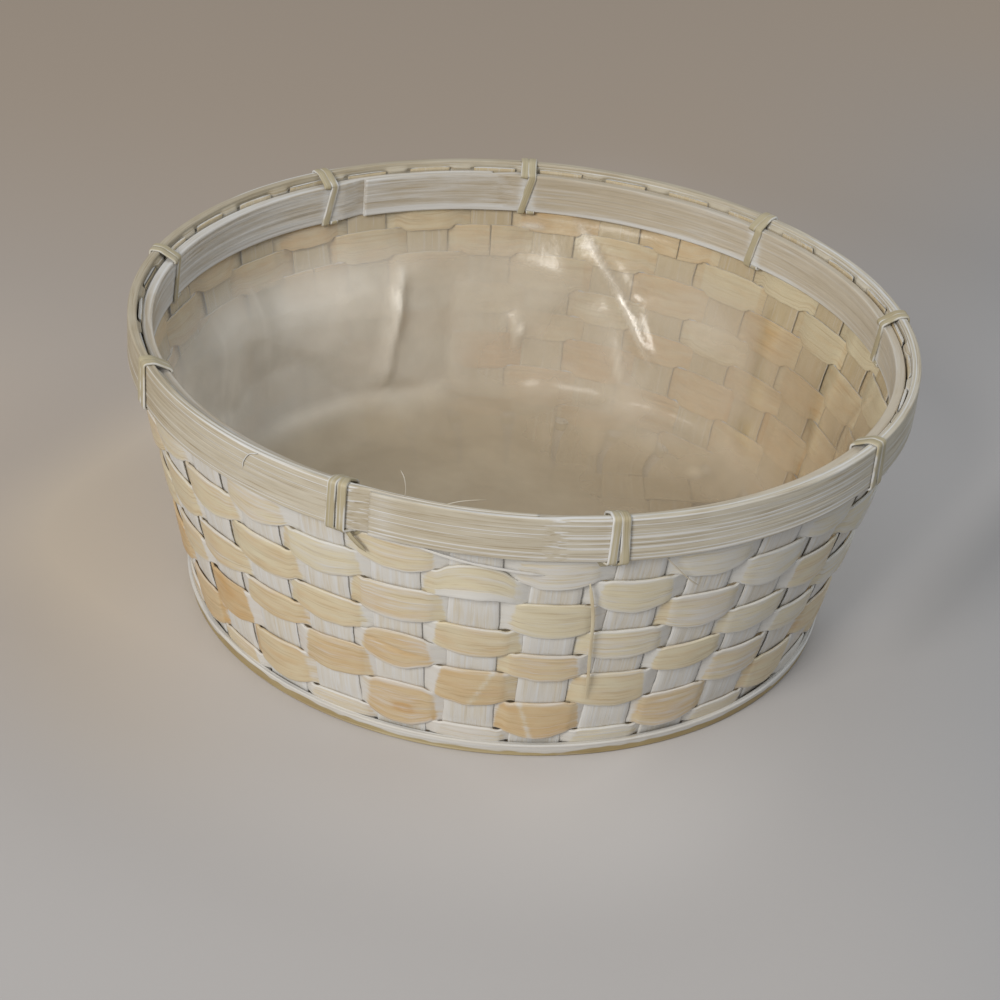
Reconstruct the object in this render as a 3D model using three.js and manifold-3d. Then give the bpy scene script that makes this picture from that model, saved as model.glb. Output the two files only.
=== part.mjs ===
// A round bowl basket of split bamboo with a clear film liner.
// Flat strips cross the base in plain weave, fold up the wall and end between two rim hoops.
// Weavers go round the wall, over one upright and under the next.
// Split strands bind the two rim hoops together, and a narrow hoop goes round the foot.
// Units are millimetres, +Z is up, and the origin is the middle of the underside.
import * as THREE from "three";
import { mergeVertices } from "three/addons/utils/BufferGeometryUtils.js";
import Module from "manifold-3d";

const wasm = await Module();
wasm.setup();

// Overall sizes
const RIM_RADIUS = 115;
const RIM_HEIGHT = 88;
const FOOT_RADIUS = 96;

// Clearance between neighbouring pieces
const GAP = 0.3;

// Rim hoops
const OUTER_HOOP_THICKNESS = 2.6;
const INNER_HOOP_THICKNESS = 2.2;
const HOOP_WIDTH = 12.8;
const HOOP_LAP = 44;
const OUTER_HOOP_END_ANGLE = -107.5;
const INNER_HOOP_END_ANGLE = 96;
const HOOP_STEPS = 96;

// Foot hoop
const FOOT_HOOP_THICKNESS = 1.8;
const FOOT_HOOP_WIDTH = 4.4;
const FOOT_HOOP_LAP = 30;
const FOOT_HOOP_END_ANGLE = 140;

// Uprights: each strip crosses the base and makes two of them
const STRIPS_EACH_WAY = 8;
const STRIP_WIDTH = 13.8;
const STRIP_THICKNESS = 0.9;
const STRIP_SPREAD = 4.2;
const FOLD_RADIUS = 3;
const FOLD_STEPS = 4;
const FAN_STEPS = 3;
const BASE_CLEARANCE = 0.5;
const STRIP_END_BELOW_RIM = 3;

// Weavers: their rows fill the wall between the locking strand and the rim hoops
const WEAVER_ROWS = 7;
const WEAVER_THICKNESS = 0.8;
const TOP_ROW_END_UPRIGHT = 5;
const ROW_END_STEP = 3;
const LOCKING_STRAND_WIDTH = 3.4;
const LOCKING_STRAND_THICKNESS = 0.8;
const WEAVER_END_GAP = 0.8;

// Rim bindings, each one strand wound twice
const BINDING_STEPS = [3, 4, 4, 3, 4, 3, 4, 3, 4];
const FIRST_BINDING_GAP = -10;
const BINDING_WIDTH = 2.6;
const BINDING_THICKNESS = 0.7;
const BINDING_TURN_GAP = 0.5;
const BINDING_END = 1;

// Film liner: it bridges the corner at the foot, and stands off the weave in broad creases
const FILM_THICKNESS = 0.25;
const FILM_TOP_BELOW_RIM = 4;
const FILM_STEPS = 64;
const FILM_FLOOR_STEPS = 6;
const FILM_CORNER_STEPS = 2;
const FILM_WALL_STEPS = 7;
const FILM_SLOT_MARGIN = 0.4;
const FILM_CORNER = 15;
const FILM_CORNER_HEIGHT = 14;
const FILM_SLACK = 1.6;
const FILM_CENTRE_SHARE = 0.3;
const FILM_CENTRE_RADIUS = 45;
const FILM_FADE_BELOW_HOOPS = 5;
const FILM_FADE = 18;

// Each set of creases: the azimuth and the climb of the direction across it in degrees, the
// distance from ridge to ridge, where it starts as a share of that, and how steep its sides are
const FILM_CREASES = [
  { azimuth: 15, climb: 25, wave: 74, phase: 0.15, steepness: 0.13 },
  { azimuth: 75, climb: 10, wave: 58, phase: 0.6, steepness: 0.12 },
  { azimuth: 130, climb: 40, wave: 66, phase: 0.35, steepness: 0.12 },
  { azimuth: 170, climb: 5, wave: 47, phase: 0.8, steepness: 0.1 },
  { azimuth: 40, climb: 65, wave: 52, phase: 0.45, steepness: 0.09 },
  { azimuth: 105, climb: 80, wave: 61, phase: 0.05, steepness: 0.08 },
];

// Points nearer than this are one point
const SAME_POINT = 1e-4;

// Sizes that follow from the ones above
const UPRIGHTS = 4 * STRIPS_EACH_WAY;
const PITCH = THREE.MathUtils.degToRad(360 / UPRIGHTS);
const FIRST_UPRIGHT = PITCH / 2;
const UP = new THREE.Vector3(0, 0, 1);
const HOOP_BOTTOM = RIM_HEIGHT - HOOP_WIDTH;
const OUTER_HOOP_INNER = RIM_RADIUS - OUTER_HOOP_THICKNESS;
const BASE_LAYER = (STRIP_THICKNESS + GAP) / 2;
const BASE_MIDDLE = BASE_CLEARANCE + BASE_LAYER + STRIP_THICKNESS / 2;
const BASE_TOP = BASE_MIDDLE + BASE_LAYER + STRIP_THICKNESS / 2;

// A round piece made of flat facets comes nearer the axis in the middle of each facet.
const facetRadius = (radius, steps) => radius * Math.cos(Math.PI / steps);

// A flat upright touches a round hoop with its two edges.
const uprightFaceInside = (radius) => Math.sqrt(radius ** 2 - (STRIP_WIDTH / 2) ** 2);

const UPRIGHT_RADIUS_AT_RIM =
  uprightFaceInside(facetRadius(OUTER_HOOP_INNER, HOOP_STEPS) - GAP) - STRIP_THICKNESS / 2;
const FOOT_INNER_RADIUS = FOOT_RADIUS - FOOT_HOOP_THICKNESS;
const UPRIGHT_RADIUS_AT_FOOT =
  uprightFaceInside(facetRadius(FOOT_INNER_RADIUS, HOOP_STEPS) - GAP) - STRIP_THICKNESS / 2;
const WALL_TURN_HEIGHT = HOOP_BOTTOM + GAP;
const WALL_SLOPE = Math.atan2(UPRIGHT_RADIUS_AT_RIM - UPRIGHT_RADIUS_AT_FOOT, WALL_TURN_HEIGHT);
const wallRadius = (z) =>
  Math.min(UPRIGHT_RADIUS_AT_FOOT + z * Math.tan(WALL_SLOPE), UPRIGHT_RADIUS_AT_RIM);

// The fold starts where the strips leave the base. Beyond the woven square the outermost strip
// spreads by STRIP_SPREAD to its place there, and the others are evenly spaced inside it.
const FOLD_TURN = Math.PI / 2 - WALL_SLOPE;
const FOLD_START = wallRadius(BASE_MIDDLE) - FOLD_RADIUS * Math.tan(FOLD_TURN / 2);
const SPACES = STRIPS_EACH_WAY - 1;
const OUTERMOST_AT_FOLD = FOLD_START * Math.sin((SPACES * PITCH) / 2);
const STRIP_SPACING = (2 * (OUTERMOST_AT_FOLD - STRIP_SPREAD)) / SPACES;

const WEAVER_OFFSET = STRIP_THICKNESS / 2 + GAP + WEAVER_THICKNESS / 2;
const LOCKING_OFFSET = STRIP_THICKNESS / 2 + GAP + LOCKING_STRAND_THICKNESS / 2;
const tallOnWall = (width, thickness) =>
  width * Math.cos(WALL_SLOPE) + thickness * Math.sin(WALL_SLOPE);
const BINDING_BOTTOM = HOOP_BOTTOM - GAP - BINDING_THICKNESS;
const LOCKING_TALL = tallOnWall(LOCKING_STRAND_WIDTH, LOCKING_STRAND_THICKNESS);
const LOCKING_HEIGHT =
  FOOT_HOOP_WIDTH + GAP + LOCKING_TALL / 2 + LOCKING_OFFSET * Math.sin(WALL_SLOPE);
const ROWS_BOTTOM = LOCKING_HEIGHT + LOCKING_TALL / 2 + GAP;
const ROWS_TOP = BINDING_BOTTOM - GAP - WEAVER_OFFSET * Math.sin(WALL_SLOPE);
const ROW_PITCH = (ROWS_TOP - ROWS_BOTTOM + GAP) / WEAVER_ROWS;
const WEAVER_TALL = ROW_PITCH - GAP;
const WEAVER_WIDTH =
  (WEAVER_TALL - WEAVER_THICKNESS * Math.sin(WALL_SLOPE)) / Math.cos(WALL_SLOPE);

const WEAVE_DEPTH =
  (STRIP_THICKNESS / 2 + GAP + Math.max(WEAVER_THICKNESS, LOCKING_STRAND_THICKNESS)) /
  Math.cos(WALL_SLOPE);
const FILM_RADIUS_AT_RIM = UPRIGHT_RADIUS_AT_RIM - STRIP_THICKNESS / 2 - GAP;
const FILM_TOP = RIM_HEIGHT - FILM_TOP_BELOW_RIM;
const INNER_HOOP_OUTER =
  facetRadius(FILM_RADIUS_AT_RIM - FILM_THICKNESS, FILM_STEPS) - GAP;

// Materials
const whitewashed = (color) =>
  new THREE.MeshStandardMaterial({ color, roughness: 0.75, metalness: 0 });
const hoopWood = whitewashed(0xb9ad98);
const uprightWood = whitewashed(0xcfc8ba);
const weaverWood = whitewashed(0xcdb98c);
const lowWeaverWood = whitewashed(0xc8a870);
const footWood = whitewashed(0xb39a68);
const strandWood = whitewashed(0xa89a6e);
const film = new THREE.MeshStandardMaterial({
  color: 0xdfe2e0,
  roughness: 0.12,
  metalness: 0,
  transparent: true,
  opacity: 0.25,
});

// Directions at an angle round the axis
const outward = (angle) => new THREE.Vector3(Math.cos(angle), Math.sin(angle), 0);
const sideways = (angle) => new THREE.Vector3(-Math.sin(angle), Math.cos(angle), 0);
const uprightAngle = (index) => FIRST_UPRIGHT + index * PITCH;

function signedVolume(positions, faces) {
  const a = new THREE.Vector3();
  const b = new THREE.Vector3();
  const c = new THREE.Vector3();
  let sum = 0;
  for (let i = 0; i < faces.length; i += 3) {
    a.fromArray(positions, 3 * faces[i]);
    b.fromArray(positions, 3 * faces[i + 1]);
    c.fromArray(positions, 3 * faces[i + 2]);
    sum += a.dot(b.cross(c)) / 6;
  }
  return sum;
}

// A closed surface from its corners and triangles, turned the right way out
function closedSurface(positions, faces) {
  if (signedVolume(positions, faces) < 0) faces.reverse();
  const geometry = new THREE.BufferGeometry();
  geometry.setAttribute("position", new THREE.Float32BufferAttribute(positions, 3));
  geometry.setIndex(faces);
  geometry.computeVertexNormals();
  return geometry;
}

// A ribbon is a row of four-cornered sections joined face to face, closed by its two ends.
function ribbon(sections) {
  const corners = 4;
  const positions = sections.flat().flatMap((corner) => corner.toArray());
  const faces = [];
  for (let i = 0; i + 1 < sections.length; i += 1) {
    for (let side = 0; side < corners; side += 1) {
      const a = i * corners + side;
      const b = i * corners + ((side + 1) % corners);
      faces.push(a, b, a + corners, b, b + corners, a + corners);
    }
  }
  const last = (sections.length - 1) * corners;
  faces.push(0, 2, 1, 0, 3, 2, last, last + 1, last + 2, last, last + 2, last + 3);
  return closedSurface(positions, faces);
}

// A sheet is closed between two faces, each of as many rings round the axis, and the first
// ring of each is one point. Both faces are split along the same diagonals, so they never cross.
function sheet(outerFace, innerFace, around) {
  const positions = [...outerFace, ...innerFace].flatMap((corner) => corner.toArray());
  const toInner = outerFace.length;
  const edge = toInner - around;
  const faces = [];
  const bothFaces = (a, b, c) => faces.push(a, b, c, a + toInner, c + toInner, b + toInner);
  for (let step = 0; step < around; step += 1) {
    const next = (step + 1) % around;
    for (let ring = 0; ring < edge; ring += around) {
      const beyond = ring + around;
      if (ring > 0) bothFaces(ring + step, ring + next, beyond + next);
      bothFaces(ring + step, beyond + next, beyond + step);
    }
    faces.push(edge + step, edge + next, edge + next + toInner);
    faces.push(edge + step, edge + next + toInner, edge + step + toInner);
  }
  return closedSurface(positions, faces);
}

// Four corners of a flat section: across is its wide direction, face its thin one.
function section(centre, across, width, face, thickness) {
  const half = across.clone().multiplyScalar(width / 2);
  const depth = face.clone().multiplyScalar(thickness / 2);
  return [
    centre.clone().sub(half).sub(depth),
    centre.clone().add(half).sub(depth),
    centre.clone().add(half).add(depth),
    centre.clone().sub(half).add(depth),
  ];
}

const group = new THREE.Group();
function place(name, geometry, material) {
  const mesh = new THREE.Mesh(geometry, material);
  mesh.name = name;
  group.add(mesh);
  return mesh;
}

// A hoop is a strip bent round until its ends lap. Both ends are pared to half thickness there.
// Each station holds an angle from the outer end, and how far the two faces lie from the inside.
function hoop({ bottom, top, innerAtBottom, innerAtTop, thickness, lap, endAngle }) {
  const turn = 2 * Math.PI;
  const paring = turn / HOOP_STEPS;
  const lapAngle = lap / innerAtTop;
  const clear = GAP / innerAtTop;
  const thin = (thickness - GAP) / 2;
  const stations = [];
  const stretch = (from, to, inner, outer) => {
    const steps = Math.ceil((to - from) / paring);
    for (let i = 0; i <= steps; i += 1) {
      stations.push([from + ((to - from) * i) / steps, inner, outer]);
    }
  };
  stretch(0, lapAngle, thickness - thin, thickness);
  stretch(lapAngle + paring, turn - clear - paring, 0, thickness);
  stretch(turn - clear, turn - clear + lapAngle, 0, thin);
  return ribbon(
    stations.map(([angle, inner, outer]) => {
      const direction = outward(THREE.MathUtils.degToRad(endAngle) + angle);
      const corner = (radius, z) => direction.clone().multiplyScalar(radius).setZ(z);
      return [
        corner(innerAtBottom + inner, bottom),
        corner(innerAtBottom + outer, bottom),
        corner(innerAtTop + outer, top),
        corner(innerAtTop + inner, top),
      ];
    }),
  );
}

// Half of one strip, from the middle of the base to its end at the rim, on the +X side.
// number counts half spacings from the axis: 1, 3, 5 and so on. side is the strip's side of it.
// The strip runs straight where it is woven, and fans out beyond that to its place on the wall.
function halfStrip(number, side, firstLayer) {
  const angle = (number * PITCH) / 2;
  const edge = (STRIP_WIDTH + GAP) / 2;
  const straight = (number * STRIP_SPACING) / 2;
  const stations = [];
  const onBase = (along, offset, slope, layer) => {
    const centre = new THREE.Vector3(along, offset, BASE_MIDDLE + layer * BASE_LAYER);
    const across = new THREE.Vector3(-slope, 1, 0).normalize();
    stations.push({ centre, across, face: UP.clone(), thickness: STRIP_THICKNESS });
  };
  let layer = firstLayer;
  for (let crossing = 1; crossing < STRIPS_EACH_WAY; crossing += 2) {
    const along = (crossing * STRIP_SPACING) / 2;
    if (crossing > 1) layer = -layer;
    onBase(along - edge, straight, 0, layer);
    onBase(along + edge, straight, 0, layer);
  }

  const fanStart = stations.at(-1).centre.x;
  const fanLength = FOLD_START * Math.cos(angle) - fanStart;
  const fanRise = FOLD_START * Math.sin(angle) - straight;
  const endSlope = Math.tan(angle) * fanLength;
  for (let step = 1; step <= FAN_STEPS; step += 1) {
    const t = step / (FAN_STEPS + 1);
    const offset = fanRise * (3 - 2 * t) * t ** 2 + endSlope * (t - 1) * t ** 2;
    const slope = fanRise * 6 * t * (1 - t) + endSlope * (3 * t - 2) * t;
    onBase(fanStart + fanLength * t, straight + offset, slope / fanLength, layer * (1 - t));
  }

  const direction = outward(angle);
  const across = sideways(angle);
  const onWall = (radius, z, tilt, thickness = STRIP_THICKNESS) => {
    const centre = direction.clone().multiplyScalar(radius).setZ(z);
    const face = direction.clone().multiplyScalar(-Math.sin(tilt)).addScaledVector(UP, Math.cos(tilt));
    stations.push({ centre, across, face, thickness });
  };
  for (let step = 0; step <= FOLD_STEPS; step += 1) {
    const tilt = (FOLD_TURN * step) / FOLD_STEPS;
    const radius = FOLD_START + FOLD_RADIUS * Math.sin(tilt);
    onWall(radius, BASE_MIDDLE + FOLD_RADIUS * (1 - Math.cos(tilt)), tilt);
  }
  const rimBend = WALL_SLOPE / 2;
  onWall(
    UPRIGHT_RADIUS_AT_RIM,
    WALL_TURN_HEIGHT,
    FOLD_TURN + rimBend,
    STRIP_THICKNESS / Math.cos(rimBend),
  );
  onWall(UPRIGHT_RADIUS_AT_RIM, RIM_HEIGHT - STRIP_END_BELOW_RIM, Math.PI / 2);
  stations.forEach((station) => {
    station.centre.y *= side;
    station.across.y *= side;
    station.face.y *= side;
    station.across.multiplyScalar(side);
  });
  return stations;
}

function wholeStrip(number, side, firstLayer) {
  const ahead = halfStrip(number, side, firstLayer);
  const behind = halfStrip(number, side, -firstLayer).reverse();
  behind.forEach((station) => {
    station.centre.x *= -1;
    station.across.x *= -1;
    station.face.x *= -1;
  });
  return ribbon(
    [...behind, ...ahead].map(({ centre, across, face, thickness }) =>
      section(centre, across, STRIP_WIDTH, face, thickness),
    ),
  );
}

// A weaver's section at one edge of an upright, outside it (+1) or inside it (-1).
function onUpright(index, shift, height, offset, width, thickness) {
  const angle = uprightAngle(index);
  const direction = outward(angle);
  const along = direction
    .clone()
    .multiplyScalar(Math.sin(WALL_SLOPE))
    .addScaledVector(UP, Math.cos(WALL_SLOPE));
  const face = direction
    .clone()
    .multiplyScalar(Math.cos(WALL_SLOPE))
    .addScaledVector(UP, -Math.sin(WALL_SLOPE));
  const centre = direction
    .clone()
    .multiplyScalar(wallRadius(height))
    .setZ(height)
    .addScaledVector(face, offset)
    .addScaledVector(sideways(angle), shift);
  return section(centre, along, width, face, thickness);
}

// A weaver goes once round. Its two ends meet inside the basket, behind the same upright.
function weaver({ endUpright, height, offset, width, thickness }) {
  const reach = (STRIP_WIDTH + GAP) / 2;
  const sections = [];
  const add = (step, shift) => {
    const layer = step % 2 === 0 ? -offset : offset;
    sections.push(onUpright(endUpright + step, shift, height, layer, width, thickness));
  };
  add(0, WEAVER_END_GAP / 2);
  add(0, reach);
  for (let step = 1; step < UPRIGHTS; step += 1) {
    add(step, -reach);
    add(step, reach);
  }
  add(UPRIGHTS, -reach);
  add(UPRIGHTS, -WEAVER_END_GAP / 2);
  return ribbon(sections);
}

// A binding goes twice round both rim hoops, and crosses from its first turn to its second
// down the inside of the rim. Each path point holds a radius, a height and a sideways shift.
function binding(angle) {
  const clear = GAP + BINDING_THICKNESS / 2;
  const inner = INNER_HOOP_OUTER - INNER_HOOP_THICKNESS - clear;
  const outer = RIM_RADIUS + clear;
  const low = HOOP_BOTTOM - clear;
  const high = RIM_HEIGHT + clear;
  const first = -(BINDING_WIDTH + BINDING_TURN_GAP) / 2;
  const second = -first;
  const path = [
    [inner, low + BINDING_END, first],
    [inner, low, first],
    [outer, low, first],
    [outer, high, first],
    [inner, high, first],
    [inner, high - BINDING_END, first],
    [inner, low + BINDING_END, second],
    [inner, low, second],
    [outer, low, second],
    [outer, high, second],
    [inner, high, second],
    [inner, high - BINDING_END, second],
  ];
  const faces = path.map(([radius, z], i) => {
    const before = path[Math.max(i - 1, 0)];
    const after = path[Math.min(i + 1, path.length - 1)];
    const run = new THREE.Vector2(radius - before[0], z - before[1]);
    const next = new THREE.Vector2(after[0] - radius, after[1] - z);
    if (run.lengthSq() === 0) run.copy(next);
    if (next.lengthSq() === 0) next.copy(run);
    run.normalize();
    next.normalize();
    const half = run.clone().add(next).normalize();
    return { normal: [half.y, -half.x], stretch: 1 / half.dot(run) };
  });
  const direction = outward(angle);
  const across = sideways(angle);
  return ribbon(
    path.map(([radius, z, shift], i) => {
      const centre = direction
        .clone()
        .multiplyScalar(radius)
        .setZ(z)
        .addScaledVector(across, shift);
      const { normal, stretch } = faces[i];
      const face = direction.clone().multiplyScalar(normal[0]).addScaledVector(UP, normal[1]);
      return section(centre, across, BINDING_WIDTH, face, BINDING_THICKNESS * stretch);
    }),
  );
}

function toSolid(geometry) {
  const bare = geometry.clone();
  bare.deleteAttribute("normal");
  bare.deleteAttribute("uv");
  const merged = mergeVertices(bare, SAME_POINT);
  return new wasm.Manifold(
    new wasm.Mesh({
      numProp: 3,
      vertProperties: new Float32Array(merged.attributes.position.array),
      triVerts: new Uint32Array(merged.index.array),
    }),
  );
}

function toGeometry(solid) {
  const { vertProperties, triVerts } = solid.getMesh();
  const geometry = new THREE.BufferGeometry();
  geometry.setAttribute("position", new THREE.Float32BufferAttribute(vertProperties, 3));
  geometry.setIndex(Array.from(triVerts));
  geometry.computeVertexNormals();
  return geometry;
}

// A triangle wave from 0 to 1, with sharp turns
const triangleWave = (phase) => Math.abs(2 * (phase - Math.floor(phase)) - 1);

// How far the film stands off the weave at a place on it
function filmLift(place) {
  let lift = FILM_SLACK;
  FILM_CREASES.forEach(({ azimuth, climb, wave, phase, steepness }) => {
    const rise = THREE.MathUtils.degToRad(climb);
    const direction = outward(THREE.MathUtils.degToRad(azimuth))
      .multiplyScalar(Math.cos(rise))
      .setZ(Math.sin(rise));
    const height = (steepness * wave) / 2;
    lift += height * (triangleWave(place.dot(direction) / wave + phase) - 0.5);
  });
  const { smoothstep, lerp } = THREE.MathUtils;
  const wallStart = FOOT_RADIUS - FILM_CORNER;
  const radius = Math.hypot(place.x, place.y);
  const outer = lerp(FILM_CENTRE_SHARE, 1, smoothstep(radius, FILM_CENTRE_RADIUS, wallStart));
  const fadeEnd = HOOP_BOTTOM - FILM_FADE_BELOW_HOOPS;
  const upper = 1 - smoothstep(place.z, fadeEnd - FILM_FADE, fadeEnd);
  return Math.max(lift, 0) * outer * upper;
}

// The film's outer face from the middle of the base to its edge, as radius and height
function filmOutline() {
  const floor = BASE_TOP + GAP;
  const tuckStart = BINDING_BOTTOM - GAP;
  const onWall = (z) => new THREE.Vector2(wallRadius(z) - WEAVE_DEPTH - GAP, z);
  const corners = [
    new THREE.Vector2(0, floor),
    onWall(floor).setX(onWall(floor).x - FILM_CORNER),
    onWall(FILM_CORNER_HEIGHT),
    onWall(tuckStart),
    new THREE.Vector2(FILM_RADIUS_AT_RIM, HOOP_BOTTOM - GAP),
    new THREE.Vector2(FILM_RADIUS_AT_RIM, FILM_TOP),
  ];
  const steps = [FILM_FLOOR_STEPS, FILM_CORNER_STEPS, FILM_WALL_STEPS, 1, 1];
  const points = [corners[0]];
  steps.forEach((count, i) => {
    for (let step = 1; step <= count; step += 1) {
      points.push(corners[i].clone().lerp(corners[i + 1], step / count));
    }
  });
  return points;
}

// At each point of the outline, the way in from it, as long as keeps an even thickness
function inwardAt(points, i) {
  const run = points[Math.max(i, 1)].clone().sub(points[Math.max(i, 1) - 1]).normalize();
  const last = points.length - 1;
  const next = points[Math.min(i + 1, last)].clone().sub(points[Math.min(i, last - 1)]).normalize();
  const half = run.clone().add(next).normalize();
  return new THREE.Vector2(-half.y, half.x).divideScalar(half.dot(run));
}

// The film's edge is held behind the inner rim hoop. It has a slot wherever a binding goes
// through it.
function filmLiner(bindingAngles) {
  const outline = filmOutline();
  const outerFace = [];
  const innerFace = [];
  outline.forEach((point, i) => {
    const way = inwardAt(outline, i);
    for (let step = 0; step < FILM_STEPS; step += 1) {
      const direction = outward((2 * Math.PI * step) / FILM_STEPS);
      const base = direction.clone().multiplyScalar(point.x).setZ(point.y);
      const inward = direction.clone().multiplyScalar(way.x).setZ(way.y);
      const lift = filmLift(base);
      outerFace.push(base.clone().addScaledVector(inward, lift));
      innerFace.push(base.clone().addScaledVector(inward, lift + FILM_THICKNESS));
    }
  });
  let solid = toSolid(sheet(outerFace, innerFace, FILM_STEPS));
  const slotWidth = 2 * BINDING_WIDTH + BINDING_TURN_GAP + 2 * FILM_SLOT_MARGIN;
  const slotHeight = BINDING_THICKNESS + 2 * GAP;
  bindingAngles.forEach((angle) => {
    const cutter = new THREE.BoxGeometry(4 * WEAVE_DEPTH, slotWidth, slotHeight);
    cutter.translate(FILM_RADIUS_AT_RIM, 0, BINDING_BOTTOM + BINDING_THICKNESS / 2);
    cutter.rotateZ(angle);
    solid = solid.subtract(toSolid(cutter));
  });
  return toGeometry(solid);
}

// Rim and foot hoops
place(
  "outer_rim_hoop",
  hoop({
    bottom: HOOP_BOTTOM,
    top: RIM_HEIGHT,
    innerAtBottom: OUTER_HOOP_INNER,
    innerAtTop: OUTER_HOOP_INNER,
    thickness: OUTER_HOOP_THICKNESS,
    lap: HOOP_LAP,
    endAngle: OUTER_HOOP_END_ANGLE,
  }),
  hoopWood,
);
place(
  "inner_rim_hoop",
  hoop({
    bottom: HOOP_BOTTOM,
    top: RIM_HEIGHT,
    innerAtBottom: INNER_HOOP_OUTER - INNER_HOOP_THICKNESS,
    innerAtTop: INNER_HOOP_OUTER - INNER_HOOP_THICKNESS,
    thickness: INNER_HOOP_THICKNESS,
    lap: HOOP_LAP,
    endAngle: INNER_HOOP_END_ANGLE,
  }),
  hoopWood,
);
place(
  "foot_hoop",
  hoop({
    bottom: 0,
    top: FOOT_HOOP_WIDTH,
    innerAtBottom: FOOT_INNER_RADIUS,
    innerAtTop: FOOT_INNER_RADIUS + FOOT_HOOP_WIDTH * Math.tan(WALL_SLOPE),
    thickness: FOOT_HOOP_THICKNESS,
    lap: FOOT_HOOP_LAP,
    endAngle: FOOT_HOOP_END_ANGLE,
  }),
  footWood,
);

// Strips along X and along Y, numbered from one side of the base to the other
for (let i = 0; i < STRIPS_EACH_WAY; i += 1) {
  const number = 2 * i + 1 - STRIPS_EACH_WAY;
  const over = i % 2 === 0 ? 1 : -1;
  const side = Math.sign(number);
  place(`upright_strip_x${i + 1}`, wholeStrip(Math.abs(number), side, over), uprightWood);
  const turned = wholeStrip(Math.abs(number), side, over);
  turned.rotateZ(Math.PI / 2);
  place(`upright_strip_y${i + 1}`, turned, uprightWood);
}

// Weavers, numbered from the rim down
for (let row = 0; row < WEAVER_ROWS; row += 1) {
  const height = ROWS_TOP - WEAVER_TALL / 2 - row * ROW_PITCH;
  place(
    `weaver_row_${row + 1}`,
    weaver({
      endUpright: TOP_ROW_END_UPRIGHT + ROW_END_STEP * row,
      height,
      offset: WEAVER_OFFSET,
      width: WEAVER_WIDTH,
      thickness: WEAVER_THICKNESS,
    }),
    row < WEAVER_ROWS / 2 ? weaverWood : lowWeaverWood,
  );
}
place(
  "locking_strand",
  weaver({
    endUpright: TOP_ROW_END_UPRIGHT + ROW_END_STEP * WEAVER_ROWS,
    height: LOCKING_HEIGHT,
    offset: LOCKING_OFFSET,
    width: LOCKING_STRAND_WIDTH,
    thickness: LOCKING_STRAND_THICKNESS,
  }),
  uprightWood,
);

// Bindings lie between two uprights
const bindingAngles = [];
let bindingAngle = FIRST_BINDING_GAP * PITCH;
BINDING_STEPS.forEach((step, i) => {
  bindingAngles.push(bindingAngle);
  place(`rim_binding_${i + 1}`, binding(bindingAngle), strandWood);
  bindingAngle += step * PITCH;
});

place("film_liner", filmLiner(bindingAngles), film);

export default group;
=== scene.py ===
# %% [markdown]
# A whitewashed bamboo basket, dressed over its solids.
# The basket is a real weave. Sixteen split strips cross the base, fold up the wall and end
# between two rim hoops, and seven weavers go round them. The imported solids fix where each
# piece goes. This lesson replaces each of them by a piece with the grain, the bulges and the
# paint of the real one.

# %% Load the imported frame
import itertools
import math

import bpy
import numpy as np
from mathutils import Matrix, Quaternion, Vector


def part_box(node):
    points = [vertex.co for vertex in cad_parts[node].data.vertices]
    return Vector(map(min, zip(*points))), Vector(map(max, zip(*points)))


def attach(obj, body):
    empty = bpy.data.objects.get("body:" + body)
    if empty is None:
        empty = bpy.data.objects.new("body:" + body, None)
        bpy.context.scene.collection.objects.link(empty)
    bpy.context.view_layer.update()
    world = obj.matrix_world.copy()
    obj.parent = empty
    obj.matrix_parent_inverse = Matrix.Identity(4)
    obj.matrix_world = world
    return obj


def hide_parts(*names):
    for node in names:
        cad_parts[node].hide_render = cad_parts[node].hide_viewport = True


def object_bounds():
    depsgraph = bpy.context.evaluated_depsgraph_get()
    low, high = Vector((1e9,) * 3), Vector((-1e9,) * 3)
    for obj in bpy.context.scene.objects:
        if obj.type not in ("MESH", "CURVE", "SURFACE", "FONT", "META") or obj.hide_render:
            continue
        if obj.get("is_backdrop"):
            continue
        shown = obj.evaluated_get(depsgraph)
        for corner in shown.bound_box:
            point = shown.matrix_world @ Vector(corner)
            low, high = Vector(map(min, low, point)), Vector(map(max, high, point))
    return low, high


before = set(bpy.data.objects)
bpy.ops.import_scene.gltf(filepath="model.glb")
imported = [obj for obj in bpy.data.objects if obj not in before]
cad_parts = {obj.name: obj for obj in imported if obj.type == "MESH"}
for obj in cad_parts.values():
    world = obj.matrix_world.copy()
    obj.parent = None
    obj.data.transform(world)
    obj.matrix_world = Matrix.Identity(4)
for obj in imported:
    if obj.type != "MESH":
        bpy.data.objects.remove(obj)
solid_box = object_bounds()

# %% [markdown]
# Sizes are in millimetres, and most repeat those of the solids. A few follow the photograph
# more closely: the inner hoop is thicker and lower, the uprights end 1.2 mm higher between the
# hoops, and the bindings stand a little beside their gaps. The numbers could be read from the
# boxes of the nodes, but the slope of the wall and the middle of each strip can't, so they
# are written once here.

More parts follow.
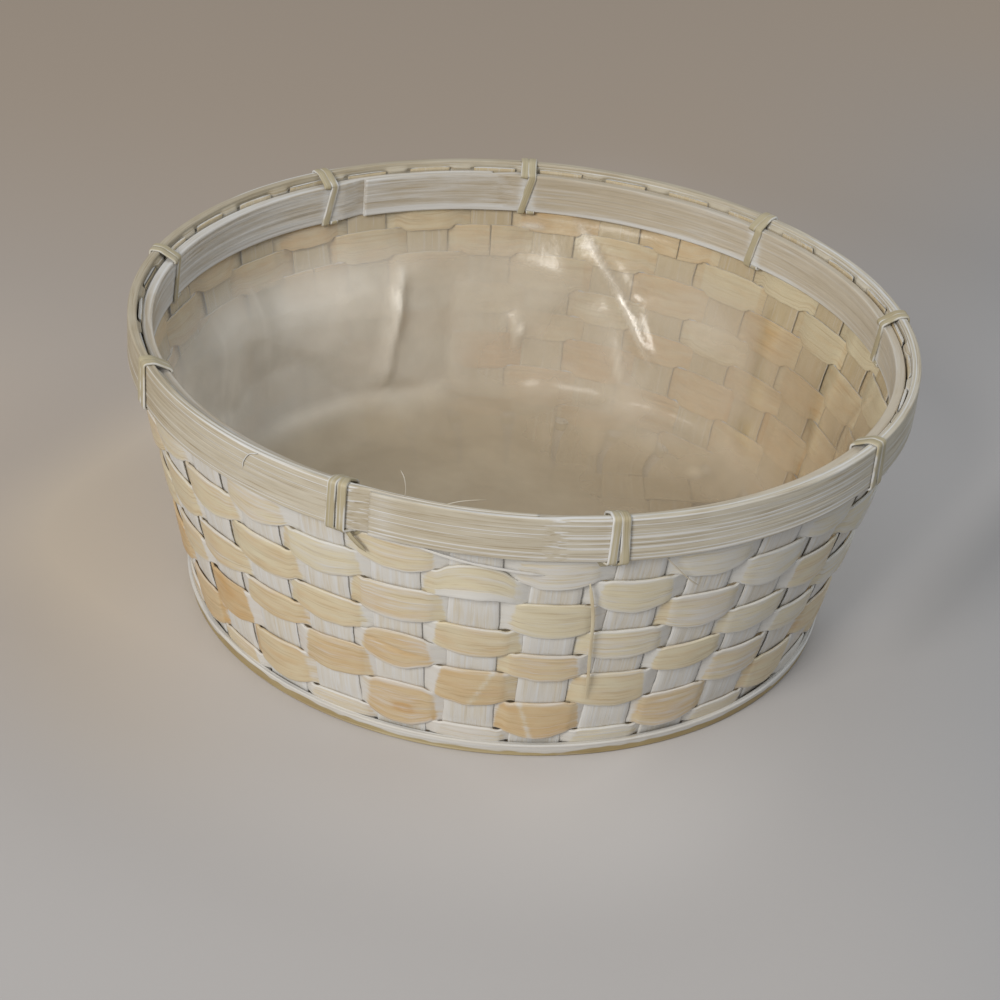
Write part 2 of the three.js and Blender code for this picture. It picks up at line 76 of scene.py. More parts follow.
# %% Sizes of the basket in millimetres
MM = 0.001
UPRIGHTS = 32
PITCH = 2 * math.pi / UPRIGHTS
RIM_RADIUS = 115.0
RIM_HEIGHT = 88.0
HOOP_WIDTH = 12.8
HOOP_BOTTOM = RIM_HEIGHT - HOOP_WIDTH
OUTER_HOOP_THICKNESS = 2.6
INNER_HOOP_THICKNESS = 3.0
INNER_HOOP_OUTER = 110.9
INNER_HOOP_DROP = 2.6
HOOP_LAP = 44.0
HOOP_GAP = 0.3
FOOT_RADIUS = 96.0
FOOT_HOOP_WIDTH = 4.4
FOOT_HOOP_THICKNESS = 1.8
FOOT_HOOP_LAP = 30.0
STRIP_WIDTH = 13.8
STRIP_THICKNESS = 0.9
STRIPS_EACH_WAY = 8
STRIP_SPREAD = 4.2
STRIP_TOP = 86.2
FOLD_RADIUS = 3.0
BASE_MIDDLE = 1.55
BASE_LAYER = 0.6
WALL_FOOT = 93.15
WALL_RIM = 111.45
WALL_TURN = 75.5
WALL_SLOPE = math.atan2(WALL_RIM - WALL_FOOT, WALL_TURN)
WEAVER_THICKNESS = 0.8
BINDING_AZIMUTHS = [-112.5, -78.75, -33.75, 11.25, 45.0, 90.0, 123.75, 168.75, 202.5]
BINDING_SHIFTS = [-4.0, 2.4, 1.8, -4.0, 4.0, -0.3, 4.0, -4.0, 2.9]


def wall_radius(height):
    """Radius of the middle of the uprights at a height."""
    return np.minimum(WALL_FOOT + height * math.tan(WALL_SLOPE), WALL_RIM)


solid_end = np.array(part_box("upright_strip_x4")[1]) / MM
print("The solid of a strip reaches", solid_end.round(1), "mm")
print("The wall leans", round(math.degrees(WALL_SLOPE), 1), "degrees")

# %% [markdown]
# The camera comes first. A long lens was fitted to the rim and the foot in the photograph.
# It stands three quarters of a metre away and looks down at 29 degrees, and it was held a
# little crooked, which is why the basket leans. The lens could be shifted to frame the
# basket. Turning the camera a degree does the same, and keeps the other views centred.

# %% Camera
CAMERA_AZIMUTH = -2.0
CAMERA_ELEVATION = 29.23
CAMERA_DISTANCE = 750.5
CAMERA_ROLL = 5.17
CAMERA_LENS = 90.0
CAMERA_TARGET = Vector((0.0, 0.0, 44.35)) * MM
LENS_PIXELS = 2500.0
TARGET_RIGHT_OF_CENTRE = 14.7
TARGET_ABOVE_CENTRE = 54.9

scene = bpy.context.scene
azimuth, elevation = math.radians(CAMERA_AZIMUTH), math.radians(CAMERA_ELEVATION)
level = math.cos(elevation)
towards_camera = Vector((math.sin(azimuth) * level, -math.cos(azimuth) * level, math.sin(elevation)))
camera = bpy.data.objects.new("camera", bpy.data.cameras.new("camera"))
scene.collection.objects.link(camera)
camera.data.lens = CAMERA_LENS
camera.data.clip_start = 0.01
camera.location = CAMERA_TARGET + towards_camera * CAMERA_DISTANCE * MM
camera.rotation_mode = "QUATERNION"
camera.rotation_quaternion = (
    (-towards_camera).to_track_quat("-Z", "Y")
    @ Quaternion((0, 0, 1), math.radians(CAMERA_ROLL))
    @ Quaternion((1, 0, 0), -math.atan(TARGET_ABOVE_CENTRE / LENS_PIXELS))
    @ Quaternion((0, 1, 0), math.atan(TARGET_RIGHT_OF_CENTRE / LENS_PIXELS))
)
scene.camera = camera
scene.view_settings.view_transform = "Standard"
print("Camera at", [round(value, 3) for value in camera.location])

# %% [markdown]
# A material is a sum: so much fibre, so much paint, less where the strip is worn. Written
# with nodes alone, such a sum is hard to read. The class below wraps one socket, and
# arithmetic on it adds the Math nodes. Colours go through Mix, because a Math node would turn
# them grey. Any other node comes from one method, which takes its settings before its inputs.


# %% Shader maths as expressions
class Wire:
    """One output socket of a material. Arithmetic on it adds Math nodes."""

    def __init__(self, socket):
        self.socket = socket
        self.tree = socket.id_data

    @classmethod
    def node(cls, tree, kind, settings=None, inputs=None, output=0):
        """Adds one node, sets it up, then fills or links its inputs, and wraps one output."""
        made = tree.nodes.new(kind)
        for name, value in (settings or {}).items():
            setattr(made, name, value)
        for name, value in (inputs or {}).items():
            if isinstance(value, Wire):
                tree.links.new(value.socket, made.inputs[name])
            else:
                made.inputs[name].default_value = value
        return cls(made.outputs[output])

    def math(self, operation, first, second, clamp=False):
        settings = {"operation": operation, "use_clamp": clamp}
        return self.node(self.tree, "ShaderNodeMath", settings, {0: first, 1: second})

    def __add__(self, other):
        return self.math("ADD", self, other)

    def __radd__(self, other):
        return self.math("ADD", other, self)

    def __sub__(self, other):
        return self.math("SUBTRACT", self, other)

    def __rsub__(self, other):
        return self.math("SUBTRACT", other, self)

    def __mul__(self, other):
        return self.math("MULTIPLY", self, other)

    def __rmul__(self, other):
        return self.math("MULTIPLY", other, self)

    def __pow__(self, exponent):
        return self.math("POWER", self, exponent)

    def clamped(self):
        return self.math("ADD", self, 0.0, clamp=True)

    def step(self, start, end):
        """Rises smoothly from 0 at start to 1 at end."""
        settings = {"interpolation_type": "SMOOTHSTEP"}
        inputs = {"Value": self, "From Min": start, "From Max": end}
        return self.node(self.tree, "ShaderNodeMapRange", settings, inputs)

    def blend(self, first, second):
        """A colour that goes from first to second as this mask goes from 0 to 1."""
        inputs = {"Factor": self, 6: first, 7: second}
        return self.node(self.tree, "ShaderNodeMix", {"data_type": "RGBA"}, inputs, 2)

    def part(self, index):
        """One of the three numbers of this vector."""
        return self.node(self.tree, "ShaderNodeSeparateXYZ", {}, {"Vector": self}, index)

    def noise(self, along, across, detail=2.0, roughness=0.5):
        """Smooth noise from 0 to 1 at this place, times along in x and across in y and z."""
        inputs = {0: self, 1: (along, across, across)}
        scaled = self.node(self.tree, "ShaderNodeVectorMath", {"operation": "MULTIPLY"}, inputs)
        inputs = {"Vector": scaled, "Scale": 1.0, "Detail": detail, "Roughness": roughness}
        return self.node(self.tree, "ShaderNodeTexNoise", {}, inputs)

    def bump(self, strength, distance):
        """The direction of a surface that this height roughens."""
        inputs = {"Height": self, "Strength": strength, "Distance": distance}
        return self.node(self.tree, "ShaderNodeBump", {}, inputs)


def carried(tree, name, output=2):
    """What a mesh carries under a name: a number, or with output 1 a vector."""
    return Wire.node(tree, "ShaderNodeAttribute", {"attribute_name": name}, output=output)


def colour(red, green, blue):
    """A colour from 0 to 255, as a screen shows it, in the linear form that shaders use."""
    linear = [((value / 255 + 0.055) / 1.055) ** 2.4 for value in (red, green, blue)]
    return (*linear, 1.0)


def new_material(name):
    """An empty material, its tree and the socket for its surface."""
    material = bpy.data.materials.new(name)
    material.use_nodes = True
    material.node_tree.nodes.clear()
    output = material.node_tree.nodes.new("ShaderNodeOutputMaterial")
    return material, material.node_tree, output.inputs["Surface"]


print("Shader helpers ready")

# %% [markdown]
# The floor is a plain, pale, seamless sheet, warm at the left and cool at the right, as a
# grey card looks under a lamp and a window. One colour would do for a plain floor, but the
# photograph's tints say where its light came from. Where the basket's shadow falls the paper
# is paler, so that only a faint shadow is left, as in the photograph.

# %% Floor
FLOOR_HALF = 4.0
FLOOR_BACK = colour(165, 152, 139)
FLOOR_FRONT = colour(172, 169, 168)
FLOOR_LEFT = colour(180, 168, 156)
FLOOR_RIGHT = colour(147, 151, 157)
FLOOR_NEAR_LEFT = colour(198, 187, 173)
FLOOR_NEAR_RIGHT = colour(194, 191, 190)
# The shadow points to the back right, 31 degrees off the y axis
SHADOW_COSINE = 0.86
SHADOW_SINE = 0.51

floor_mesh = bpy.data.meshes.new("floor")
corners = [(x * FLOOR_HALF, y * FLOOR_HALF, 0) for x, y in ((-1, -1), (1, -1), (1, 1), (-1, 1))]
floor_mesh.from_pydata(corners, [], [(0, 1, 2, 3)])
floor = bpy.data.objects.new("floor", floor_mesh)
scene.collection.objects.link(floor)
floor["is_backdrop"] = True

material, tree, surface = new_material("seamless paper")
place = Wire.node(tree, "ShaderNodeTexCoord", output=3)
x, y = place.part(0), place.part(1)
paper = y.step(0.4, -0.15).blend(FLOOR_BACK, FLOOR_FRONT)
paper = (x.step(-0.05, -0.25) * y.step(-0.2, 0.0) * y.step(0.2, 0.06)).blend(paper, FLOOR_LEFT)
paper = (x.step(0.06, 0.26) * y.step(0.6, 0.1)).blend(paper, FLOOR_RIGHT)
across = x * SHADOW_COSINE - y * SHADOW_SINE
ahead = x * SHADOW_SINE + y * SHADOW_COSINE
shadow = across.step(0.122, 0.098) * across.step(-0.165, -0.11)
shadow = shadow * ahead.step(-0.12, -0.04) * ahead.step(0.34, 0.12)
shadow = shadow * (1.0 - across.step(0.06, 0.09) * ahead.step(0.05, 0.0))
contact = ((x * x + y * y) ** 0.5).step(0.18, 0.11) * x.step(0.1, 0.03) * 0.75
near_floor = x.step(-0.14, -0.05).blend(FLOOR_NEAR_LEFT, FLOOR_NEAR_RIGHT)
paper = (shadow + contact).clamped().blend(paper, near_floor)
bump = place.noise(900.0, 900.0, detail=1.0).bump(0.1, 0.0001)
inputs = {"Base Color": paper, "Roughness": 0.9, "Specular IOR Level": 0.2, "Normal": bump}
shader = Wire.node(tree, "ShaderNodeBsdfPrincipled", {}, inputs)
tree.links.new(shader.socket, surface)
floor_mesh.materials.append(material)
print("Floor", 2 * FLOOR_HALF, "m across")

# %% [markdown]
# The light is soft: an even world, a large lamp above the front left and a weaker, cooler one
# at the right. Hard lamps would draw glints on every strip. Together these light a level
# surface so that its colour renders as it is written. What the camera sees beyond the floor
# has the floor's colour, through Light Path, and adds no light.

# %% Light
WORLD_LIGHT = 0.41
BACKDROP = colour(150, 139, 128)
# Name, place in metres, width, watts and tint
SOFTBOXES = [
    ("key_softbox", (-0.8, -1.35, 1.0), 0.8, 24.5, (1.0, 0.965, 0.91)),
    ("window_softbox", (1.0, 0.3, 1.5), 1.4, 7.5, (0.84, 0.93, 1.0)),
]

world = bpy.data.worlds.new("studio")
scene.world = world
world.use_nodes = True
tree = world.node_tree
tree.nodes.clear()
output = tree.nodes.new("ShaderNodeOutputWorld")
light = Wire.node(tree, "ShaderNodeBackground", {}, {"Color": (1, 1, 1, 1), "Strength": WORLD_LIGHT})
backdrop = Wire.node(tree, "ShaderNodeBackground", {}, {"Color": BACKDROP, "Strength": 1.0})
rays = tree.nodes.new("ShaderNodeLightPath")
camera_ray, glossy_ray, through_ray = (
    Wire(rays.outputs[f"Is {kind} Ray"]) for kind in ("Camera", "Glossy", "Transmission")
)
seen = (camera_ray + glossy_ray + through_ray).clamped()
mixed = Wire.node(tree, "ShaderNodeMixShader", {}, {0: seen, 1: light, 2: backdrop})
tree.links.new(mixed.socket, output.inputs["Surface"])

for name, position, size, watts, tint in SOFTBOXES:
    lamp = bpy.data.objects.new(name, bpy.data.lights.new(name, "AREA"))
    scene.collection.objects.link(lamp)
    lamp.data.shape = "DISK"
    lamp.data.size = size
    lamp.data.energy = watts
    lamp.data.color = tint
    lamp.location = position
    lamp.rotation_euler = (CAMERA_TARGET - Vector(position)).to_track_quat("-Z", "Y").to_euler()
print("Softboxes:", [name for name, *_ in SOFTBOXES])

# %% [markdown]
# Split bamboo has long fibres, so everything on it runs along the strip: fine lines, broader
# bands and stains. A picture could be wrapped round each strip. Noise that is stretched
# dozens of times along the strip does it better, and never repeats. Each mesh carries the place
# on its own strip, in millimetres, as the attribute "grain", so the fibres follow every bend.
# "tone" says how brown the strip is there, and "wash" how much paint it holds.

# %% Bamboo finish
PAINT = colour(204, 204, 203)


def bamboo(
    name, pale, brown, fibre=(138, 120, 90), lines=2.2, streaks=0.5, patchy=1.0, dark=0.45, relief=1.0,
    roughness=0.62,
):
    """Split bamboo under thin white paint. lines is the number of fibre lines per millimetre."""
    material, tree, surface = new_material(name)
    grain, tone, wash = carried(tree, "grain", output=1), carried(tree, "tone"), carried(tree, "wash")
    fine = grain.noise(0.045, lines, detail=3.0, roughness=0.6)
    bands = grain.noise(0.02, 0.28 * lines)
    stains = grain.noise(0.11, 0.3)
    brush = grain.noise(0.05, 0.5 * lines, detail=3.0, roughness=0.65)

    warmth = (tone + (stains - 0.5) * 0.9 + (bands - 0.5) * 0.5).clamped()
    wood = warmth.blend(colour(*pale), colour(*brown))
    furrows = fine.step(0.50, 0.30) * dark + bands.step(0.42, 0.25) * (0.55 * dark)
    wood = furrows.blend(wood, colour(*fibre))
    cover = wash + (brush - 0.5) * (1.4 * patchy) + (stains - 0.5) * (0.7 * patchy) + (fine - 0.5) * 0.4
    threads = grain.noise(0.008, 0.62 * lines, detail=1.0)
    thick = (threads + (wash - 0.5) * 0.12).step(0.56, 0.61) * streaks
    painted = (cover.step(0.25, 0.85) * 0.8 + thick).clamped()

    inputs = {
        "Base Color": painted.blend(wood, PAINT),
        "Roughness": roughness + painted * 0.2 + (fine - 0.5) * 0.15,
        "Specular IOR Level": 0.35,
        "Normal": (fine * 0.5 + bands * 0.6 + painted * 0.35).bump(0.55, 0.00022 * relief),
    }
    shader = Wire.node(tree, "ShaderNodeBsdfPrincipled", {}, inputs)
    tree.links.new(shader.socket, surface)
    return material


hoop_finish = bamboo(
    "whitewashed hoop", (190, 184, 169), (166, 155, 133), lines=2.7, streaks=0.8, patchy=0.9, dark=0.6
)
inner_finish = bamboo(
    "smooth inner hoop", (188, 179, 163), (170, 158, 137), lines=1.8, streaks=0.2, patchy=0.5, dark=0.25
)
upright_finish = bamboo(
    "whitewashed upright", (198, 189, 170), (182, 166, 134), (166, 152, 124),
    lines=2.1, streaks=0.25, patchy=0.6, dark=0.3,
)
weaver_finish = bamboo(
    "creamy weaver", (205, 196, 170), (190, 155, 105), (152, 126, 88),
    lines=1.6, streaks=0.06, patchy=0.85, dark=0.36, roughness=0.5,
)
foot_finish = bamboo(
    "tan foot hoop", (178, 164, 126), (150, 130, 88), (116, 100, 66), streaks=0.15, roughness=0.5
)
strand_finish = bamboo(
    "olive binding strand", (180, 172, 147), (160, 148, 118), (128, 117, 88),
    lines=2.4, streaks=0.2, relief=0.6, roughness=0.48,
)
finishes = [hoop_finish, inner_finish, upright_finish, weaver_finish, foot_finish, strand_finish]
print("Bamboo finishes:", [finish.name for finish in finishes])

# %% [markdown]
# Hand work is never even, but it has to come out the same at each run. This noise reads a
# shuffled table with a fixed seed, at any place and in any number of directions. Random
# numbers alone would jump from point to point, and modifiers can't be steered by a strip's
# own length, so the noise is made here with arrays.

# %% Repeatable noise
TABLE_SIZE = 4096
table_random = np.random.default_rng(7)
SHUFFLED = table_random.permutation(TABLE_SIZE)
HEIGHTS = table_random.uniform(-1, 1, TABLE_SIZE)


def wobble(seed, *places):
    """Smooth noise from -1 to 1. Each place is an array of positions, counted in waves."""
    places = np.broadcast_arrays(*[np.asarray(place, float) for place in places])
    cells = [np.floor(place).astype(int) for place in places]
    shares = [place - cell for place, cell in zip(places, cells)]
    eased = [share * share * (3 - 2 * share) for share in shares]
    total = np.zeros(places[0].shape)
    for corner in itertools.product((0, 1), repeat=len(places)):
        key = np.full(places[0].shape, seed * 131)
        weight = np.ones(places[0].shape)
        for cell, ease, side in zip(cells, eased, corner):
            key = SHUFFLED[(key + cell + side) % TABLE_SIZE]
            weight = weight * (ease if side else 1 - ease)
        total += weight * HEIGHTS[key]
    return total


def smooth_step(value):
    """Rises smoothly from 0 at 0 to 1 at 1."""
    value = np.clip(value, 0, 1)
    return value * value * (3 - 2 * value)


def hump(value):
    """A smooth hump: 1 at 0, and nothing from -1 down or from 1 up."""
    return np.cos(np.clip(value, -1, 1) * math.pi / 2) ** 2


def left_share(azimuth):
    """1 at the left of the photograph, a little to the back, and 0 across from there."""
    return 0.5 - 0.5 * np.cos(azimuth + math.radians(20))


sample = wobble(1, np.linspace(0, 500, 5000))
print("Noise runs from", sample.min().round(2), "to", sample.max().round(2))

# %% [markdown]
# Every piece of the basket is a strip: one outline carried along a path. A curve object with
# a bevel could do that, but its outline can't change on the way, and here each strip
# swells, narrows and cups. So the points are worked out as a grid, stations along by points
# around, and skinned with quads. The outline is a rectangle with eased edges. What belongs to
# a station is kept as a column, so that it spreads over the points around by itself.

# %% Skinning a strip
UP = np.array([0.0, 0.0, 1.0])


def outline(width, thickness, across=12, through=2, radius=0.25, steps=2):
    """Points round an eased rectangle, as shares of half its width and of half its thickness."""
    half, deep = width / 2, thickness / 2
    rounded = []
    for quarter, (x, y) in enumerate(((1, 1), (-1, 1), (-1, -1), (1, -1))):
        turns = math.pi / 2 * (quarter + np.linspace(0, 1, steps + 1))
        corner = np.array([x * (half - radius), y * (deep - radius)])
        rounded.append(corner + radius * np.stack([np.cos(turns), np.sin(turns)], 1))
    ring = []
    for quarter, points in enumerate(rounded):
        ring.extend(points)
        count = across if quarter % 2 == 0 else through
        target = rounded[(quarter + 1) % 4][0]
        ring.extend(points[-1] + (target - points[-1]) * step / count for step in range(1, count))
    ring = np.array(ring)
    return ring[:, 0] / half, ring[:, 1] / deep


def unit(vectors):
    """Vectors made one long."""
    return vectors / np.linalg.norm(vectors, axis=-1, keepdims=True)


def lengths_along(path):
    """How far along a path each of its points lies."""
    steps = np.linalg.norm(np.diff(path, axis=0), axis=-1)
    return np.concatenate([np.zeros_like(steps[:1]), np.cumsum(steps, axis=0)])


def facing(centres, across):
    """The direction of the outer face at each station, square to the path and to across."""
    return unit(np.cross(unit(np.gradient(centres, axis=0)), across))


def turned(azimuth, radius, height):
    """Points round the middle of the basket, from the azimuth, radius and height of each."""
    return np.stack(np.broadcast_arrays(radius * np.cos(azimuth), radius * np.sin(azimuth), height), -1)


def skin(name, grid, finish, slot, nodes=(), grain=None, **numbers):
    """Makes a piece from a grid of points in millimetres, stations by points around. grain is
    the place on the strip: along, across and deep. numbers are carried under their own names."""
    stations, around = grid.shape[:2]
    number = np.arange(stations * around).reshape(stations, around)
    after = np.roll(number, -1, axis=1)
    quads = np.stack([number[:-1], after[:-1], after[1:], number[1:]], -1).reshape(-1, 4)
    mesh = bpy.data.meshes.new(name)
    ends = [number[0, ::-1].tolist(), number[-1].tolist()]
    mesh.from_pydata((grid.reshape(-1, 3) * MM).tolist(), [], quads.tolist() + ends)
    mesh.polygons.foreach_set("use_smooth", [True] * len(quads) + [False, False])
    if grain:
        places = np.stack(np.broadcast_arrays(*grain), -1).astype(np.float32)
        mesh.attributes.new("grain", "FLOAT_VECTOR", "POINT").data.foreach_set("vector", places.ravel())
    for label, values in numbers.items():
        values = np.broadcast_to(values, (stations, around)).astype(np.float32)
        mesh.attributes.new(label, "FLOAT", "POINT").data.foreach_set("value", values.ravel())
    mesh.materials.append(finish)
    piece = bpy.data.objects.new(name, mesh)
    scene.collection.objects.link(piece)
    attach(piece, "root")
    if nodes:
        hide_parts(*nodes)
    return piece


print("An outline has", len(outline(STRIP_WIDTH, STRIP_THICKNESS)[0]), "points")

# %% [markdown]
# The uprights are flat strips, wide and thin. On the base they cross in plain weave, over one
# and under the next, then they fan out, fold up sharply and run straight up the wall. The
# whole strip could be drawn as one curve with a control point at each crossing. Working out
# one half and mirroring it, with the layers swapped, keeps the weave exact.

# %% Path of an upright
FOLD_TURN = math.pi / 2 - WALL_SLOPE
FOLD_START = float(wall_radius(BASE_MIDDLE)) - FOLD_RADIUS * math.tan(FOLD_TURN / 2)
SPACES = STRIPS_EACH_WAY - 1
STRIP_SPACING = 2 * (FOLD_START * math.sin(SPACES * PITCH / 2) - STRIP_SPREAD) / SPACES
STRIP_STATION = 1.1


def half_strip(number, side, first_layer):
    """Centres and across directions of half a strip, from the middle of the base to the rim."""
    angle = number * PITCH / 2
    straight = number * STRIP_SPACING / 2
    woven_end = SPACES * STRIP_SPACING / 2 + STRIP_WIDTH / 2
    along = np.arange(0, woven_end, STRIP_STATION)
    crossing = along / STRIP_SPACING
    count = np.floor(crossing)
    share = crossing - count
    ramp = 2 * (STRIP_SPACING - STRIP_WIDTH) / STRIP_SPACING
    turn = smooth_step((share - 1 + ramp / 2) / ramp) - smooth_step((ramp / 2 - share) / ramp)
    level = first_layer * np.where(count % 2 == 0, 1, -1) * (1 - 2 * np.abs(turn))
    base = np.stack([along, np.full_like(along, straight), BASE_MIDDLE + BASE_LAYER * level], 1)

    fan_length = FOLD_START * math.cos(angle) - woven_end
    fan_rise = FOLD_START * math.sin(angle) - straight
    t = np.linspace(0, 1, max(int(fan_length / STRIP_STATION), 4))[:-1]
    offset = fan_rise * (3 - 2 * t) * t**2 + math.tan(angle) * fan_length * (t - 1) * t**2
    height = BASE_MIDDLE + BASE_LAYER * level[-1] * (1 - smooth_step(t))
    fan = np.stack([woven_end + fan_length * t, straight + offset, height], 1)

    tilt = np.linspace(0, FOLD_TURN, 9)
    fold_radius = FOLD_START + FOLD_RADIUS * np.sin(tilt)
    fold_height = BASE_MIDDLE + FOLD_RADIUS * (1 - np.cos(tilt))
    rise = np.append(np.arange(fold_height[-1] + STRIP_STATION, STRIP_TOP, STRIP_STATION), STRIP_TOP)
    radius = np.concatenate([fold_radius, wall_radius(rise)])
    height = np.concatenate([fold_height, rise])
    wall = turned(angle, radius, height)

    path = np.concatenate([base, fan, wall])
    slope = np.gradient(path[:, 1], path[:, 0] + 1e-6 * np.arange(len(path)))
    slope[len(base) + len(fan) :] = math.tan(angle)
    slope[: len(base)] = 0
    across = unit(np.stack([slope, -np.ones_like(slope), np.zeros_like(slope)], 1))
    path[:, 1] *= side
    across[:, 0] *= side
    return path, across


print("Strips lie", round(STRIP_SPACING, 2), "mm apart and fold up", round(FOLD_START, 1), "mm out")

# %% [markdown]
# The weavers push each upright in and out a little, its edges are shaved, and the paint is
# thicker along them. A subdivided box could be pulled about to look so, one strip at a time.
# Here the same few sums shape all sixteen. The inside of a strip and its underside have
# hardly any paint, and are browner.

# %% Uprights
UPRIGHT_PUSH = 0.22
ROW_EDGES = [74.0, 66.4, 57.8, 47.6, 38.9, 31.2, 20.3, 9.1]
LOCKING_HEIGHT = 6.9


def row_push(height):
    """Runs from -1 where an odd row passes outside to 1 where an even one does."""
    middles = [(upper + lower) / 2 for upper, lower in zip(ROW_EDGES, ROW_EDGES[1:])] + [LOCKING_HEIGHT]
    signs = [-1 if row % 2 == 0 else 1 for row in range(len(middles))]
    return np.sin(np.interp(height, middles[::-1], signs[::-1]) * math.pi / 2)


def upright_strip(direction, index):
    """One whole strip, which makes two uprights. Strips along y are those along x, turned."""
    number = 2 * index + 1 - STRIPS_EACH_WAY
    side = 1 if number > 0 else -1
    layer = 1 if index % 2 == 0 else -1
    seed = 10 * index + (5 if direction == "y" else 0) + 20
    ahead, ahead_across = half_strip(abs(number), side, layer)
    behind, behind_across = half_strip(abs(number), side, -layer)
    mirror = np.array([-1, 1, 1])
    path = np.concatenate([behind[:0:-1] * mirror, ahead])[:, None]
    across = np.concatenate([behind_across[:0:-1] * mirror, ahead_across])[:, None]
    along = lengths_along(path)
    face = facing(path, across)
    a, b = outline(STRIP_WIDTH, STRIP_THICKNESS, across=16, radius=0.3)
    height = path[..., 2]
    on_wall = smooth_step((height - 6) / 6)
    half = STRIP_WIDTH / 2 + 0.18 * wobble(seed, along / 9) + 0.1 * wobble(seed + 1, along / 2.5)
    shift = 0.3 * on_wall * wobble(seed + 2, along / 30)
    parity = 1 if (abs(number) - side) % 4 == 0 else -1
    which = np.where(np.arange(len(path)) < len(behind) - 1, -parity, parity)[:, None]
    push = UPRIGHT_PUSH * on_wall * which * row_push(height)
    crown = 0.14 * (1 - a**2)
    thick = STRIP_THICKNESS / 2 * (1 + 0.12 * wobble(seed + 3, along / 14))
    ridge = 0.035 * wobble(seed + 4, along / 40, a * 9 + 50)
    shaved = 0.38 * smooth_step((np.abs(a) - 0.7) / 0.3) * (b > 0)
    out = b * thick + on_wall * (crown - shaved) + push + ridge * np.sign(b)
    sideways = a * half + shift
    grid = path + across * sideways[..., None] + face * out[..., None]
    if direction == "y":
        grid = grid[..., [1, 0, 2]] * mirror
    outer = (b > -0.7) * smooth_step((height - 1.5) / 3)
    edge = smooth_step((np.abs(a) - 0.72) / 0.25)
    wash = 0.12 + outer * (0.58 + 0.22 * edge + 0.12 * wobble(seed + 5, along / 12))
    tone = 0.26 + 0.12 * wobble(seed + 6, along / 40) + 0.54 * (1 - outer)
    grain = (along + 300 * seed, sideways + 40 * seed, out)
    name, node = f"bamboo_upright_{direction}{index + 1}", f"upright_strip_{direction}{index + 1}"
    skin(name, grid, upright_finish, "upright", [node], grain=grain, wash=wash, tone=tone)


for index in range(STRIPS_EACH_WAY):
    for direction in "xy":
        upright_strip(direction, index)
print("Uprights:", 2 * STRIPS_EACH_WAY, "strips")

# %% [markdown]
# A weaver is a wide, soft strip. Over an upright it bulges out like a small pillow, and its
# lower edge sags, because the row below passes behind there. Between two uprights it twists
# through a narrow gap beside its neighbours. A cloth simulation could find such a form, but
# not on a given upright. Paint has pooled where each bulge dives behind its neighbour.

# %% Shape of a weaver
STATIONS_PER_UPRIGHT = 26
ROW_GAP = 0.3
LEVEL = 0.9
LATE = 0.7
UNDER = 2.5
WIDE_FLOAT = 2.2
INSIDE_BULGE = 0.1
OVERLAP_TOP = 0.5
OVERLAP_BOTTOM = 0.9


def upright_of(end_upright, count):
    """The number of the upright that lies count uprights on from a weaver's ends."""
    return (end_upright + count) % UPRIGHTS


